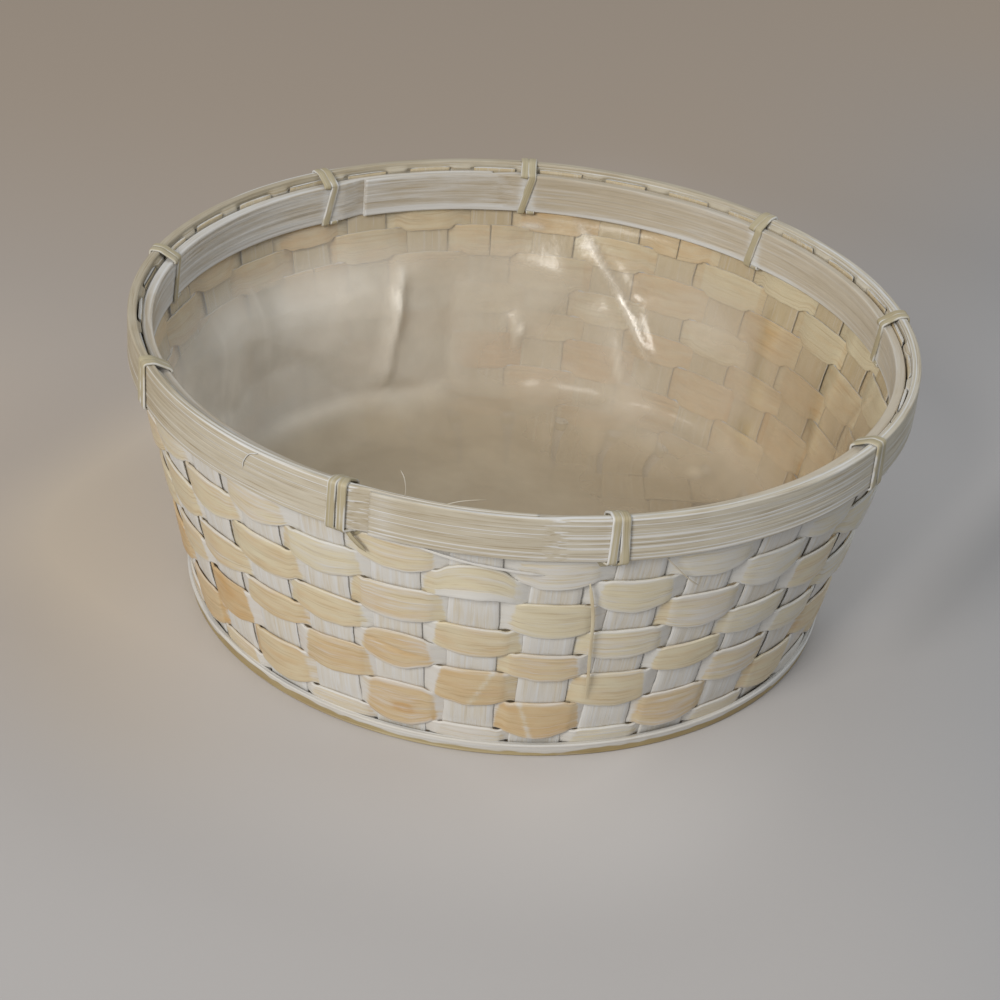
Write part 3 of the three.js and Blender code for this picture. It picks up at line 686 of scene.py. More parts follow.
def weaver(name, node, end_upright, top, bottom, sag, tone, paint, seed, bulge, special, wide=None, tucked=0):
    """One strip that goes once round the wall, outside one upright and inside the next.
    tucked is how much lower its top lies inside, and wide is the upright with the widest float."""
    spacing = float(wall_radius((top + bottom) / 2)) * PITCH
    end_gap = 0.15 / spacing
    turns = np.linspace(0, UPRIGHTS, UPRIGHTS * STATIONS_PER_UPRIGHT + 1)[:, None]
    turns = np.clip(turns, end_gap, UPRIGHTS - end_gap)
    angle = (end_upright + 0.5 + turns) * PITCH
    along = turns * spacing
    before = np.floor(turns).astype(int)
    share = turns - before
    nearest = np.round(turns).astype(int)
    x = (turns - nearest) * spacing
    outside = nearest % 2 == 1
    leaving = before % 2 == 1
    from_float = np.where(leaving, share, 1 - share) * spacing
    late = LATE + np.where(upright_of(end_upright, before + ~leaving) == wide, WIDE_FLOAT, 0)
    start, end = STRIP_WIDTH / 2 + late, spacing - STRIP_WIDTH / 2 + UNDER
    level = LEVEL * (1 - 2 * smooth_step((from_float - start) / (end - start)))
    clear = smooth_step((np.abs(share - 0.5) * spacing - 1.4) / 1.8)

    draws = np.random.default_rng(seed).uniform(-1, 1, (UPRIGHTS + 1, 6))
    draws[-1] = draws[0]
    own = np.moveaxis(draws[nearest], -1, 0)
    upright = upright_of(end_upright, nearest)
    pillow = hump(x / (spacing / 2 + 2.5))
    centre_share = np.clip(1 - (2 * x / spacing) ** 2, 0, 1)
    level = level + np.where(outside, bulge * (1 + 0.35 * own[0]), -INSIDE_BULGE) * pillow

    def extra(label):
        """What the special floats have more of than the others, at each station."""
        return np.array([special.get(count, {}).get(label, 0.0) for count in range(UPRIGHTS)])[upright]

    upper = top - ROW_GAP / 2 + centre_share * np.where(outside, 0.35 * own[1] + extra("top"), 0.3 - tucked)
    upper = upper + np.where(outside, OVERLAP_TOP, 0.3) * clear
    sagging = np.where(outside, sag * (1 + 0.22 * own[2]) + extra("bottom"), 0.5)
    lower = bottom + ROW_GAP / 2 - centre_share * sagging - np.where(outside, 0.0, OVERLAP_BOTTOM) * clear
    slant = np.where(outside, 0.35, 0.0) * own[3] * np.sin(math.pi * x / spacing)
    upper = upper + slant + 0.12 * wobble(seed, along / 4)
    lower = lower + slant + 0.2 * wobble(seed + 1, along / 3.2) + 0.08 * wobble(seed + 2, along / 0.9)

    direction = turned(angle, 1, 0)
    climb = unit(direction * math.sin(WALL_SLOPE) + UP * math.cos(WALL_SLOPE))
    normal = unit(direction * math.cos(WALL_SLOPE) - UP * math.sin(WALL_SLOPE))
    height = (upper + lower) / 2
    path = direction * wall_radius(height)[..., None] + UP * height[..., None] + normal * level[..., None]
    face = facing(path, climb)
    half = (upper - lower) / 2 / math.cos(WALL_SLOPE)
    a, b = outline(2 * half.mean(), WEAVER_THICKNESS, across=16)
    crown = 0.22 * pillow * (1 - a**2)
    lip = np.where(outside, 0.28 + 0.2 * own[4] + extra("lip"), 0.0) * pillow * ((1 - a) / 2) ** 3
    ridge = 0.03 * wobble(seed + 3, along / 50, a * 8 + 50)
    thick = WEAVER_THICKNESS / 2 * (1 + 0.1 * wobble(seed + 4, along / 11))
    split = extra("split") * hump((a - 0.06 + 0.04 * x) / 0.16) * pillow
    crease = extra("crease") * hump((x - extra("crease_at") - extra("slant") * a) / 1.3)
    stain = extra("stain") * hump((x - 1.0) / 4.5) * hump((a + 0.15) / 0.3)
    out = b * thick + crown + lip + (ridge - 0.35 * split + 0.06 * crease) * np.sign(b)
    rise = a * half
    grid = path + climb * rise[..., None] + face * out[..., None]

    to_edge = spacing - STRIP_WIDTH / 2 - from_float
    reach = 2.6 + 1.9 * draws[before + leaving, np.where(leaving, 3, 5)] + 0.8 * a
    end_paint = 0.72 * smooth_step((reach - to_edge) / 1.6 + 0.5)
    end_paint = end_paint * (0.85 + 0.5 * wobble(seed + 5, along / 7))
    # Less paint and browner wood at the left: painted warm shade on that side of the basket
    left = left_share(angle)
    edges = smooth_step((np.abs(a) - 0.8) / 0.2) * 0.3 + 0.3 * (0.5 - left)
    edges = edges + extra("paint") * smooth_step((-a - 0.35) / 0.3) + 0.26 * crease - 0.4 * split
    wash = 0.04 + (b > -0.7) * (0.1 + paint + end_paint + edges + 0.18 * own[5])
    hue = tone + extra("tone") + 0.2 * own[4] + 0.32 * (left - 0.5) + 0.1 * wobble(seed + 6, along / 25)
    hue = hue + 0.18 * (b < -0.7) + 1.3 * stain + 0.15 * split - 0.25 * crease
    grain = (along, a * 6.2 + 37 * seed, out)
    skin(name, grid, weaver_finish, "weaver", [node], grain=grain, wash=wash, tone=hue)


print("A weaver has", UPRIGHTS * STATIONS_PER_UPRIGHT + 1, "stations")

# %% [markdown]
# The heights of the rows were measured on the front of the photographed basket, and the back
# repeats them with other random numbers. A modifier could copy one row upwards, but no two
# rows are alike. Upper rows are pale and hold paint, lower ones are brown. A few floats
# differ from all others and are named by row and upright: top and bottom say how much further
# up and down they reach in the middle, and lip how far the lower edge stands off. One is
# split along its length, two have a pale crease across, and one has a brown stain.

# %% Weavers
ROW_SAG = [2.3, 2.8, 1.9, 1.7, 1.6, 1.6, 2.2]
ROW_TONE = [0.05, 0.05, 0.18, 0.14, 0.32, 0.5, 0.46]
ROW_PAINT = [0.4, 0.34, 0.18, 0.22, 0.1, 0.06, 0.1]
ROW_EXTRAS = {1: {"tucked": 2.2}, 2: {"wide": 23}}
ROW_END_UPRIGHT = 5
ROW_END_STEP = 3
LOCKING_END_UPRIGHT = 26
LOCKING_BOTTOM = 4.3
BULGE = 0.4
SPECIAL = {
    2: {23: {"top": 3.6, "bottom": -4.6, "paint": 0.6, "lip": 0.9}},
    5: {22: {"top": 1.8, "bottom": 1.2, "tone": 0.1, "split": 1.0}},
    6: {23: {"crease": 1.0, "crease_at": 3.0, "slant": 3.0, "tone": 0.1}},
    7: {
        22: {"top": 1.2, "bottom": 0.6, "tone": 0.15, "stain": 1.0},
        24: {"crease": 1.0, "crease_at": -3.6, "slant": -2.0},
    },
}

looks = zip(ROW_EDGES, ROW_EDGES[1:], ROW_SAG, ROW_TONE, ROW_PAINT)
for row, look in enumerate(looks, start=1):
    end_upright = ROW_END_UPRIGHT + ROW_END_STEP * (row - 1)
    special, extras = SPECIAL.get(row, {}), ROW_EXTRAS.get(row, {})
    weaver(
        f"bamboo_weaver_{row}", f"weaver_row_{row}", end_upright, *look, 100 * row, BULGE, special, **extras
    )
weaver(
    "bamboo_locking_strand", "locking_strand", LOCKING_END_UPRIGHT, top=ROW_EDGES[-1], bottom=LOCKING_BOTTOM,
    sag=0.1, tone=0.35, paint=0.36, seed=900, bulge=0.1, special={},
)
print("Weavers:", len(ROW_SAG), "rows and a locking strand")

# %% [markdown]
# The two rim hoops are thick splits of bamboo, bent round until their ends lap. Each end is
# pared to half its thickness, so that the lap is no thicker than the hoop. Their faces carry
# long ridges, where the fibres stand up and hold white paint between them. A torus would
# have neither lap nor ridges, so the hoop is a strip like the others, with many stations.

# %% Shape of a hoop
HOOP_STEP = math.radians(0.5)
PARED = 2 * math.pi / 96


def hoop(
    name, node, finish, slot, inner, thickness, low, high, lean, lap, end_degrees, seed, paint, tone, filled=0
):
    """A bent strip with lapped ends. lean is how much further out the top lies than the foot,
    and filled is how far it swells inwards between two uprights."""
    turn = 2 * math.pi
    lap_angle = lap / inner
    clear = HOOP_GAP / inner
    thin = (thickness - HOOP_GAP) / 2
    angles = np.arange(0, turn - clear + lap_angle, HOOP_STEP)[:, None]
    stops = [0, lap_angle, lap_angle + PARED, turn - clear - PARED, turn - clear, turn - clear + lap_angle]
    inside = np.interp(angles, stops, [thickness - thin] * 2 + [0] * 4)
    outside = np.interp(angles, stops, [thickness] * 4 + [thin] * 2)
    width = high - low
    a, b = outline(width, thickness, across=44, through=7, radius=0.5, steps=3)
    along = angles * inner
    azimuth = math.radians(end_degrees) + angles
    deep = (outside - inside) / 2
    ridges = 0.075 * wobble(seed, along / 60, a * width * 0.8 + 60)
    ridges = ridges + 0.04 * wobble(seed + 1, along / 25, a * width * 2.0 + 90)
    ridges = ridges * np.clip(deep / (thickness / 2), 0.3, 1)
    frayed = 0.1 * wobble(seed + 2, along / 14, b * 2 + 9)
    rise = a * (width / 2 + 0.1 * wobble(seed + 3, along / 35)) + frayed * (np.abs(a) > 0.97)
    radius = inner + (inside + outside) / 2 + b * deep + ridges * np.sign(b)
    reach = inner * PITCH / 2 - STRIP_WIDTH / 2 - 0.1
    from_gap = np.abs(azimuth / PITCH - np.round(azimuth / PITCH)) * PITCH * inner
    between = smooth_step((reach - from_gap) / 1.6)
    radius = radius - filled * between * (b < 0) * smooth_step((0.85 - a) / 0.2)
    radius = radius + lean * (rise + width / 2) / width
    height = np.maximum((low + high) / 2 + rise, 0)
    grid = turned(azimuth, radius, height)
    grain = (along + 500 * seed, rise + 31 * seed, b * deep)
    wash, hue = paint(azimuth, a, angles), tone(azimuth, angles)
    skin(name, grid, finish, slot, [node], grain=grain, wash=wash, tone=hue)


print("A hoop has", int(2 * math.pi / HOOP_STEP), "stations in one turn")

# %% [markdown]
# Paint on a hoop follows how it was brushed. It fills the lower edge, collects round the
# bindings and lies in a patch over the lap. The wood is browner at the left, with less paint,
# as painted warm shade on that side. Painting such marks by hand on an unwrapped picture would
# work too. Sums of humps by azimuth keep each mark at its place when a size changes.

# %% Hoops


def near(azimuth, degrees, reach):
    """1 at an azimuth, falling to 0 at reach degrees from it."""
    away = np.degrees(np.angle(np.exp(1j * (azimuth - math.radians(degrees)))))
    return hump(away / reach)


def rim_paint(azimuth, a, angles):
    """The white brush marks of the rim: edges, bindings and the lap."""
    wash = 0.26 + 0.16 * wobble(61, azimuth * 4)
    for degrees, shift in zip(BINDING_AZIMUTHS, BINDING_SHIFTS):
        wash = wash + 0.5 * near(azimuth, degrees + math.degrees(shift / RIM_RADIUS), 2.2)
    wash = wash + 0.22 * np.exp(-(((angles - 0.035) / 0.035) ** 2))
    # Less paint at the left: painted warm shade on that side
    wash = wash - 0.24 * near(azimuth, -142, 32) - 0.2 * near(azimuth, -174, 26)
    return wash + smooth_step((a - 0.85) / 0.15) * 0.06 + smooth_step((-a - 0.8) / 0.15) * 0.22


def inner_rim_paint(azimuth, a, angles):
    """The inner hoop has more paint at the left, and there a white line along the lower edge."""
    left = left_share(azimuth)
    line = smooth_step((-a - 0.55) / 0.3) * (0.15 + 0.5 * left)
    return rim_paint(azimuth, a, angles + 1) + 0.58 * left**2 - 0.06 + line


def rim_tone(azimuth, angles):
    """Browner at the left as painted warm shade, and in the pared hollow beside the lap.
    Greyer at the right as painted cool light.
    """
    hollow = smooth_step((angles - 2 * math.pi + PARED) / (0.5 * PARED))
    return 0.46 - 0.32 * np.cos(azimuth + math.radians(25)) + 0.15 * wobble(62, azimuth * 5) + 0.3 * hollow


def foot_paint(azimuth, a, angles):
    """White only along the upper edge, where the paint ran down from the wall."""
    uneven = 0.25 * wobble(63, azimuth * 9) + 0.15 * wobble(65, azimuth * 31)
    uneven = uneven - 0.4 * near(azimuth, -150, 50) + 0.4 * near(azimuth, -92, 36)
    return 0.1 + 0.8 * smooth_step((a + 0.1 + uneven) / 0.4)


def foot_tone(azimuth, angles):
    """Tan, darker in places."""
    return 0.5 + 0.3 * wobble(64, azimuth * 5)


hoop(
    "bamboo_outer_hoop", "outer_rim_hoop", hoop_finish, "hoop", RIM_RADIUS - OUTER_HOOP_THICKNESS,
    OUTER_HOOP_THICKNESS, HOOP_BOTTOM, RIM_HEIGHT, lean=0, lap=HOOP_LAP, end_degrees=-110.0, seed=41,
    paint=rim_paint, tone=rim_tone, filled=1.2,
)
hoop(
    "bamboo_inner_hoop", "inner_rim_hoop", inner_finish, "hoop", INNER_HOOP_OUTER - INNER_HOOP_THICKNESS,
    INNER_HOOP_THICKNESS, HOOP_BOTTOM - INNER_HOOP_DROP, RIM_HEIGHT - INNER_HOOP_DROP, lean=0,
    lap=HOOP_LAP, end_degrees=96.0, seed=51, paint=inner_rim_paint, tone=rim_tone,
)
hoop(
    "bamboo_foot_hoop", "foot_hoop", foot_finish, "foot", FOOT_RADIUS - FOOT_HOOP_THICKNESS,
    FOOT_HOOP_THICKNESS, 0.0, FOOT_HOOP_WIDTH, lean=FOOT_HOOP_WIDTH * math.tan(WALL_SLOPE),
    lap=FOOT_HOOP_LAP, end_degrees=140.0, seed=71, paint=foot_paint, tone=foot_tone, filled=1.3,
)
print("Hoops: two at the rim and one round the foot")

# %% [markdown]
# Each binding is one thin split strand. It goes twice round both hoops, down the inside from
# its first turn to its second, and its ends are caught under the turns. A curve object could
# carry it, but would twist it at the corners. So its path is a list of corners, rounded off,
# and the strand lies flat on it. The two turns lean a little apart, with paint between them.

# %% Bindings
STRAND_WIDTH = 2.6
STRAND_THICKNESS = 0.6
STRAND_CLEAR = 0.1 + STRAND_THICKNESS / 2
TURN_SHIFT = 1.55
CORNER_CUT = 0.9


def rounded_path(corners, cut, steps=5):
    """A path through corners, each cut off by a smooth bend."""
    corners = np.array(corners, float)
    points = [corners[0]]
    for before, corner, after in zip(corners, corners[1:], corners[2:]):
        start = corner + unit(before - corner) * min(cut, np.linalg.norm(before - corner) / 2)
        end = corner + unit(after - corner) * min(cut, np.linalg.norm(after - corner) / 2)
        for t in np.linspace(0, 1, steps):
            points.append((1 - t) ** 2 * start + 2 * t * (1 - t) * corner + t**2 * end)
    points.append(corners[-1])
    spread = []
    for first, second in zip(points, points[1:]):
        count = max(1, int(np.linalg.norm(second - first) / 0.8))
        spread.extend(first + (second - first) * step / count for step in range(count))
    return np.array(spread + [points[-1]])


def binding(index, degrees, shift):
    """One strand wound twice round the rim. Its turns stand shift to the side of their gap."""
    lean = np.random.default_rng(300 + index).uniform(-0.35, 0.35, 4)
    inner = INNER_HOOP_OUTER - INNER_HOOP_THICKNESS - STRAND_CLEAR
    outer = RIM_RADIUS + STRAND_CLEAR
    outer_edge = RIM_RADIUS - OUTER_HOOP_THICKNESS
    behind = INNER_HOOP_OUTER + 0.8
    low, high = HOOP_BOTTOM - STRAND_CLEAR, RIM_HEIGHT + STRAND_CLEAR
    inner_low, inner_high = low - INNER_HOOP_DROP, high - INNER_HOOP_DROP
    corners = []
    for turn, place in enumerate((-TURN_SHIFT, TURN_SHIFT)):
        moved = place + shift
        corners += [
            (inner, inner_low + 1.0, moved),
            (inner, inner_low, moved),
            (behind, inner_low, place + 0.8 * shift),
            (behind + 0.6, low, place),
            (outer_edge, low, place + 0.4 * shift),
            (outer, low, moved + lean[2 * turn]),
            (outer, high, moved - 0.25 * place + lean[2 * turn + 1]),
            (outer_edge, high, moved - 0.25 * place),
            (inner, inner_high, moved - 0.2 * place),
            (inner, inner_high - 1.0, moved - 0.1 * place),
        ]
    path = rounded_path(corners, CORNER_CUT)
    angle = math.radians(degrees)
    out, side = turned(angle, 1, 0), turned(angle + math.pi / 2, 1, 0)
    centres = (path[:, :1] * out + path[:, 2:] * side + path[:, 1:2] * UP)[:, None]
    run = unit(np.gradient(path[:, :2], axis=0))
    face = unit(run[:, 1:] * out - run[:, :1] * UP)[:, None]
    across = unit(np.cross(face, unit(np.gradient(centres, axis=0))))
    along = lengths_along(centres)
    a, b = outline(STRAND_WIDTH, STRAND_THICKNESS, across=7, radius=0.22)
    bulk = b * STRAND_THICKNESS / 2 + 0.16 * (1 - a**2) * (b > 0)
    sideways = a * STRAND_WIDTH / 2 * (1 + 0.07 * wobble(310 + index, along / 5))
    grid = centres + across * sideways[..., None] + face * bulk[:, None]
    edge = smooth_step((np.abs(a) - 0.6) / 0.3)
    wash = 0.08 + (0.6 + 0.4 * wobble(340 + index, along / 2.5)) * edge
    wash = wash + 0.25 * wobble(330 + index, along / 6)
    tone = 0.45 + 0.2 * wobble(350 + index, along / 15)
    grain = (along + 70 * index, sideways + 11 * index, bulk)
    name, node = f"bamboo_binding_{index}", f"rim_binding_{index}"
    skin(name, grid, strand_finish, "binding", [node], grain=grain, wash=wash, tone=tone)


for index, (degrees, shift) in enumerate(zip(BINDING_AZIMUTHS, BINDING_SHIFTS), start=1):
    binding(index, degrees, shift)
print("Bindings:", len(BINDING_AZIMUTHS))

# %% [markdown]
# The liner is a sheet of clear film, pushed into the basket by hand and caught behind the
# inner hoop. It bridges the corner at the foot. Its shape could be lathed, but then it
# couldn't crease, so it is a grid: places along its section by places around.

# %% Section of the film
FILM_AROUND = 352
FILM_ALONG = 118
FILM_THICKNESS = 0.12
FILM_FLOOR = 3.1
FILM_OFF_WALL = 2.15
FILM_CORNER = 15.0
FILM_CORNER_HEIGHT = 14.0
FILM_FREE_TOP = 68.0
FILM_UNDER_HOOP = (108.7, 71.6)
FILM_TUCKED = 72.4
FILM_TOP = 85.8
FILM_BEHIND_HOOP = 111.0
FILM_BEND = 4.0


def off_wall(height):
    """A corner of the film's section that lies near the wall."""
    return float(wall_radius(height)) - FILM_OFF_WALL, height


profile = rounded_path(
    [
        (0.6, FILM_FLOOR),
        (off_wall(FILM_FLOOR)[0] - FILM_CORNER, FILM_FLOOR),
        off_wall(FILM_CORNER_HEIGHT),
        off_wall(FILM_FREE_TOP),
        FILM_UNDER_HOOP,
        (FILM_BEHIND_HOOP, FILM_TUCKED),
        (FILM_BEHIND_HOOP, FILM_TOP),
    ],
    FILM_BEND,
    steps=9,
)
lengths = lengths_along(profile)
even = np.linspace(0, lengths[-1], FILM_ALONG)
profile = np.stack([np.interp(even, lengths, numbers) for numbers in profile.T], 1)
run = unit(np.gradient(profile, axis=0))
radius, level = profile[:, :1], profile[:, 1:]
around = np.arange(FILM_AROUND) * 2 * math.pi / FILM_AROUND
print("The film is", lengths[-1].round(1), "mm long from the middle of the base to its edge")

# %% [markdown]
# The film stands off the wall in broad folds. A cloth simulation would make soft, round ones,
# but this film is stiff and creases sharply. So its folds are sums of triangle waves, which
# meet in straight ridges. The solid has the same broad creases. The narrow pleats that run
# down from the rim are added here, with white along their ridges, partly stress whitening and
# partly painted highlight, and white spots that are painted glints.

# %% Folds of the film
FILM_SLACK = 1.6
# Each set of creases: the azimuth and climb of the direction across it, the distance from
# ridge to ridge, where it starts and how steep its sides are
CREASES = [
    (15, 25, 74, 0.15, 0.13),
    (75, 10, 58, 0.60, 0.12),
    (130, 40, 66, 0.35, 0.12),
    (170, 5, 47, 0.80, 0.10),
    (40, 65, 52, 0.45, 0.09),
    (105, 80, 61, 0.05, 0.08),
]
# The pleats seen on the far wall: azimuth at the foot and at the rim, width, height, lowest
# and highest point, and how white the crease is. The white is partly stress whitening and
# partly painted highlight. Below 0 the film is pressed clear.
SEEN_PLEATS = [
    (121.0, 110.0, 5.0, 2.0, 14, 58, 1.2),
    (118.0, 112.0, 4.0, 1.0, 30, 60, 0.5),
    (89.5, 90.0, 6.0, 1.6, 24, 44, 0.8),
    (47.0, 82.5, 6.0, 2.2, 28, 74, 1.0),
    (64.0, 76.0, 6.0, 1.0, 18, 38, 0.6),
    (36.0, 39.0, 9.0, 1.4, 14, 70, -0.6),
    (17.0, 20.0, 9.0, 1.4, 14, 74, -0.7),
    (143.0, 146.0, 9.0, 1.0, 20, 66, 0.2),
    (163.0, 158.0, 9.0, 1.4, 14, 60, 0.2),
]
# Pleats that the photograph doesn't show: limits of the slant, width, height and lowest point
HIDDEN_PLEATS = 14
HIDDEN_LIMITS = [(-12, 12), (4, 8), (1.0, 2.2), (8, 40)]
# Painted glints, where the film is painted white as highlights: azimuth, height, half their
# width and height, strength
PAINTED_GLINTS = [
    (114.8, 46.0, 2.2, 5.0, 2.0),
    (89.0, 34.0, 2.2, 3.0, 1.8),
    (88.5, 68.0, 6.0, 1.8, 1.4),
    (78.0, 64.0, 5.0, 1.8, 1.2),
    (41.5, 7.0, 4.0, 2.0, 0.8),
]


def triangle(phase):
    """A triangle wave from 0 to 1, with sharp turns."""
    return np.abs(2 * (phase - np.floor(phase)) - 1)


flat = turned(around, radius, level)
lift = np.full((FILM_ALONG, FILM_AROUND), FILM_SLACK)
for azimuth, climb, wave, phase, steepness in CREASES:
    azimuth, climb = math.radians(azimuth), math.radians(climb)
    direction = [math.cos(azimuth) * math.cos(climb), math.sin(azimuth) * math.cos(climb), math.sin(climb)]
    lift += steepness * wave / 2 * (triangle(flat @ np.array(direction) / wave + phase) - 0.5)
lift = np.maximum(lift, 0) + 0.35 * wobble(400, *(np.moveaxis(flat, -1, 0) / 9 + 40)) + 0.35

film_random = np.random.default_rng(19)
hidden_pleats = []
for _ in range(HIDDEN_PLEATS):
    foot = film_random.uniform(180, 380)
    slant, width, tall, low = (film_random.uniform(*limits) for limits in HIDDEN_LIMITS)
    hidden_pleats.append((foot, foot + slant, width, tall, low, 72, 0.4))
ridge = np.zeros_like(lift)
for foot, rim, width, tall, low, high, white in SEEN_PLEATS + hidden_pleats:
    centre = np.radians(foot + (rim - foot) * level / 75)
    away = np.abs(np.angle(np.exp(1j * (around - centre)))) * radius
    along = smooth_step((level - low) / 10) * smooth_step((high - level) / 10)
    lift += tall * np.clip(1 - away / width, 0, 1) * along
    # White along a pleat's ridge, uneven along it: partly stress whitening, partly painted highlight
    white_unevenness = 0.75 + 0.5 * wobble(420 + int(width * 7), level / 6)
    ridge += white * hump(away / (2.4 if white > 0 else 7.0)) * along * white_unevenness
# A white line along the corner crease at the back left: partly stress whitening, partly painted highlight
ridge += 0.7 * hump((level - 13.5) / 3.5) * (radius > 80) * hump((np.degrees(around) - 133) / 24)
# Painted glints: white spots that stand in for highlights on the film
for azimuth, height, wide, tall, white in PAINTED_GLINTS:
    aside = (around - math.radians(azimuth)) * radius
    ridge += white * hump(aside / wide) * hump((level - height) / tall)
share = 0.3 + 0.7 * smooth_step((radius - 45) / 40)
share = share * (0.03 + 0.97 * (1 - smooth_step((level - 52) / 18)))
lift = lift * (share * np.clip(radius / 12, 0, 1))
print("Folds stand up to", lift.max().round(1), "mm off the weave")

# %% [markdown]
# The film is clear, with a thin milky haze and a soft gloss. Glass would bend and darken what
# lies behind it, which such a thin film doesn't. So three shaders are mixed: transparent,
# milky and glossy. The haze is thicker on the base, where the photograph is greyer. It is
# thicker and whiter at the left, as painted light in the shade of the left wall, and warmer at
# the right, as painted warm bounce light. It is thin under the rim, as painted shade under the
# hoop, and white on the ridges, partly as painted highlight.

material, tree, surface = new_material("clear creased film")
place = Wire.node(tree, "ShaderNodeTexCoord", output=3)
cloud = place.noise(28.0, 28.0, detail=3.0)
crinkle = place.noise(160.0, 160.0, detail=4.0, roughness=0.6)
# ridges: the white of the creases and the painted glints, carried by the mesh
side, upper, ridges = place.part(0), place.part(2), carried(tree, "ridge")
bump = (crinkle + cloud).bump(0.5, 0.0006)
edge_on = Wire.node(tree, "ShaderNodeLayerWeight", {}, {"Blend": 0.5}, output=1)
on_floor = upper.step(0.020, 0.008)
gloss_factor = (edge_on**5 * 0.4 + ridges * 0.03 + 0.024) * (1.0 - upper.step(0.028, 0.016) * 0.65)
gloss_factor = gloss_factor * (1.0 - upper.step(0.054, 0.068) * 0.6)
clear = Wire.node(tree, "ShaderNodeBsdfTransparent", {}, {"Color": (0.985, 0.98, 0.97, 1)})
# The milk is whiter at the left, painted light in the shade of the left wall, and warmer at the right,
# painted warm bounce light
veil_colour_with_painted_light = side.step(0.05, 0.10).blend(colour(228, 220, 206), colour(210, 190, 160))
veil_colour_with_painted_light = side.step(-0.015, -0.08).blend(veil_colour_with_painted_light, colour(248, 244, 236))
veil_colour_with_painted_light = on_floor.blend(veil_colour_with_painted_light, colour(204, 190, 167))
inputs = {"Base Color": veil_colour_with_painted_light, "Roughness": 1.0, "Specular IOR Level": 0.0, "Normal": bump}
milky = Wire.node(tree, "ShaderNodeBsdfPrincipled", {}, inputs)
gloss = Wire.node(tree, "ShaderNodeBsdfGlossy", {}, {"Roughness": 0.24, "Normal": bump})
# Thicker at the left as painted light; thin under the rim as painted shade under the hoop; whiter on the
# ridges, partly as painted highlight
haze_with_painted_light = cloud.step(0.35, 0.7) * 0.2 + side.step(0.05, -0.08) * 0.26 + on_floor * 0.12 + 0.2
haze_with_painted_light = (haze_with_painted_light * (1.0 - upper.step(0.048, 0.070) * 0.84) + ridges * 0.36).clamped()
veil = Wire.node(tree, "ShaderNodeMixShader", {}, {0: haze_with_painted_light, 1: clear, 2: milky})
film_shader = Wire.node(tree, "ShaderNodeMixShader", {}, {0: gloss_factor, 1: veil, 2: gloss})
tree.links.new(film_shader.socket, surface)


def film_face(extra):
    """One face of the film, lifted off the weave by its folds."""
    off = lift + extra
    return turned(around, radius - run[:, 1:] * off, level + run[:, :1] * off)


film_grid = np.concatenate([film_face(0.0), film_face(FILM_THICKNESS)[::-1]])
# The white of the creases and the painted glints, on both faces of the film
white_crease_and_glint_grid = np.concatenate([ridge, ridge[::-1]])
liner = skin("film_sheet", film_grid, material, "film", ["film_liner"], ridge=white_crease_and_glint_grid)

# %% [markdown]
# Split bamboo frays. A long white splinter has come off under the front of the rim, a strand
# stands up over the weave beside the second binding, a torn tail hangs from the lap, and a
# few hairs stick out. Hair particles would scatter at random. These are placed one by one,
# as narrow tapering strips that start under a hoop or a weaver, so that none hangs in the air.

# %% Loose fibres
SLOT_FINISH = {
    "upright": upright_finish, "weaver": weaver_finish, "hoop": hoop_finish, "binding": strand_finish,
}
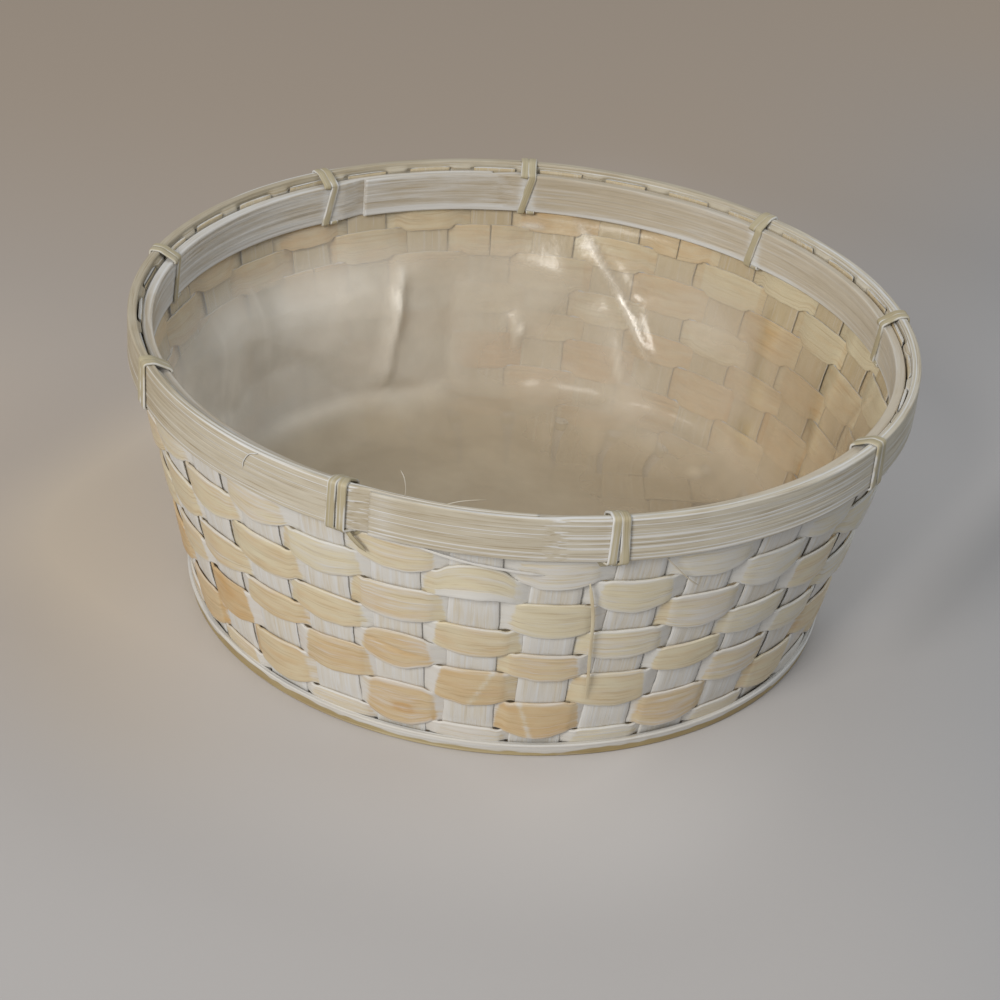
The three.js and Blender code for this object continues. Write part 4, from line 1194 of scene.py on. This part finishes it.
# Name, slot, width, thickness, paint, tone, and points as azimuth, height and distance off the
# middle of the uprights
LOOSE = [
    ("splinter_under_rim", "upright", 0.7, 0.35, 0.95, 0.15,
     [(-106.5, 75.2, 1.6), (-102.0, 74.0, 2.6), (-97.7, 72.6, 3.0), (-92.5, 71.3, 3.0), (-88.5, 70.2, 2.7),
      (-86.5, 69.4, 2.0)]),
    ("standing_strand", "weaver", 0.9, 0.3, 0.2, 0.15,
     [(-80.3, 66.5, 2.2), (-79.6, 60.0, 3.0), (-79.0, 53.5, 3.0), (-78.5, 42.2, 3.0), (-77.9, 30.5, 3.0),
      (-77.5, 22.6, 2.3)]),
    ("torn_tail", "binding", 1.3, 0.4, 0.25, 0.6,
     [(-113.4, 75.4, 2.4), (-112.7, 73.6, 3.2), (-111.7, 71.4, 3.3), (-110.5, 68.9, 3.0)]),
    ("hair_on_hoop", "hoop", 0.3, 0.2, 0.4, 0.15,
     [(-127.0, 87.9, 4.0), (-128.4, 86.6, 4.0), (-129.4, 83.6, 3.9), (-129.6, 81.2, 3.75)]),
    ("hair_above_rim_1", "hoop", 0.22, 0.2, 0.4, 0.15,
     [(-105.6, 87.6, 1.5), (-105.6, 90.4, 1.2), (-106.0, 93.0, 0.6), (-106.6, 94.6, 0.2)]),
    ("hair_above_rim_2", "hoop", 0.22, 0.2, 0.4, 0.15,
     [(-100.5, 87.6, 1.5), (-98.7, 89.0, 1.0), (-96.7, 89.9, 0.6), (-95.0, 90.3, 0.3)]),
    ("fibre_beside_binding", "upright", 0.4, 0.25, 0.4, 0.15,
     [(-70.4, 74.2, 2.2), (-68.0, 69.0, 2.7), (-65.8, 64.6, 2.8), (-64.2, 62.0, 2.3)]),
]


def smooth_through(points, count):
    """A smooth curve through points, by cardinal splines."""
    points = np.array(points, float)
    padded = np.concatenate([[2 * points[0] - points[1]], points, [2 * points[-1] - points[-2]]])
    t = np.linspace(0, 1, count, endpoint=False)[:, None]
    curve = []
    for p0, p1, p2, p3 in zip(padded, padded[1:], padded[2:], padded[3:]):
        bend = (2 * p0 - 5 * p1 + 4 * p2 - p3) * t**2 + (3 * p1 - p0 - 3 * p2 + p3) * t**3
        curve.append(0.5 * (2 * p1 + (p2 - p0) * t + bend))
    return np.concatenate(curve + [points[-1:]])


for order, (name, slot, width, thickness, paint, tone, stops) in enumerate(LOOSE):
    track = smooth_through(stops, 14)[:, None]
    azimuth, height, away = np.radians(track[..., 0]), track[..., 1], track[..., 2]
    centres = turned(azimuth, wall_radius(height) + away, height)
    run = unit(np.gradient(centres, axis=0))
    across = unit(np.cross(turned(azimuth, 1, 0), run))
    face = unit(np.cross(run, across))
    share = np.linspace(0, 1, len(track))[:, None]
    taper = np.clip(np.minimum(share * 8 + 0.35, (1 - share) * 5 + 0.12), 0, 1)
    along = lengths_along(centres)
    a, b = outline(width, thickness, across=4, through=1, radius=min(width, thickness) * 0.35)
    sideways = a * width / 2 * taper * (1 + 0.12 * wobble(500 + order, along / 3))
    deep = b * thickness / 2 * (0.4 + 0.6 * taper)
    grid = centres + across * sideways[..., None] + face * deep[..., None]
    grain = (along + 900 + 60 * order, sideways, deep)
    skin(name, grid, SLOT_FINISH[slot], slot, grain=grain, wash=paint, tone=tone)
print("Loose fibres:", [name for name, *_ in LOOSE])

# %% Finish
dressed_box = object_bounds()
boxes = {"solids": solid_box, "dressed": dressed_box}
sizes = {name: [list(corner) for corner in box] for name, box in boxes.items()}
for name, corners in sizes.items():
    print("Box of the", name, "in mm:", [[round(value / MM, 1) for value in corner] for corner in corners])
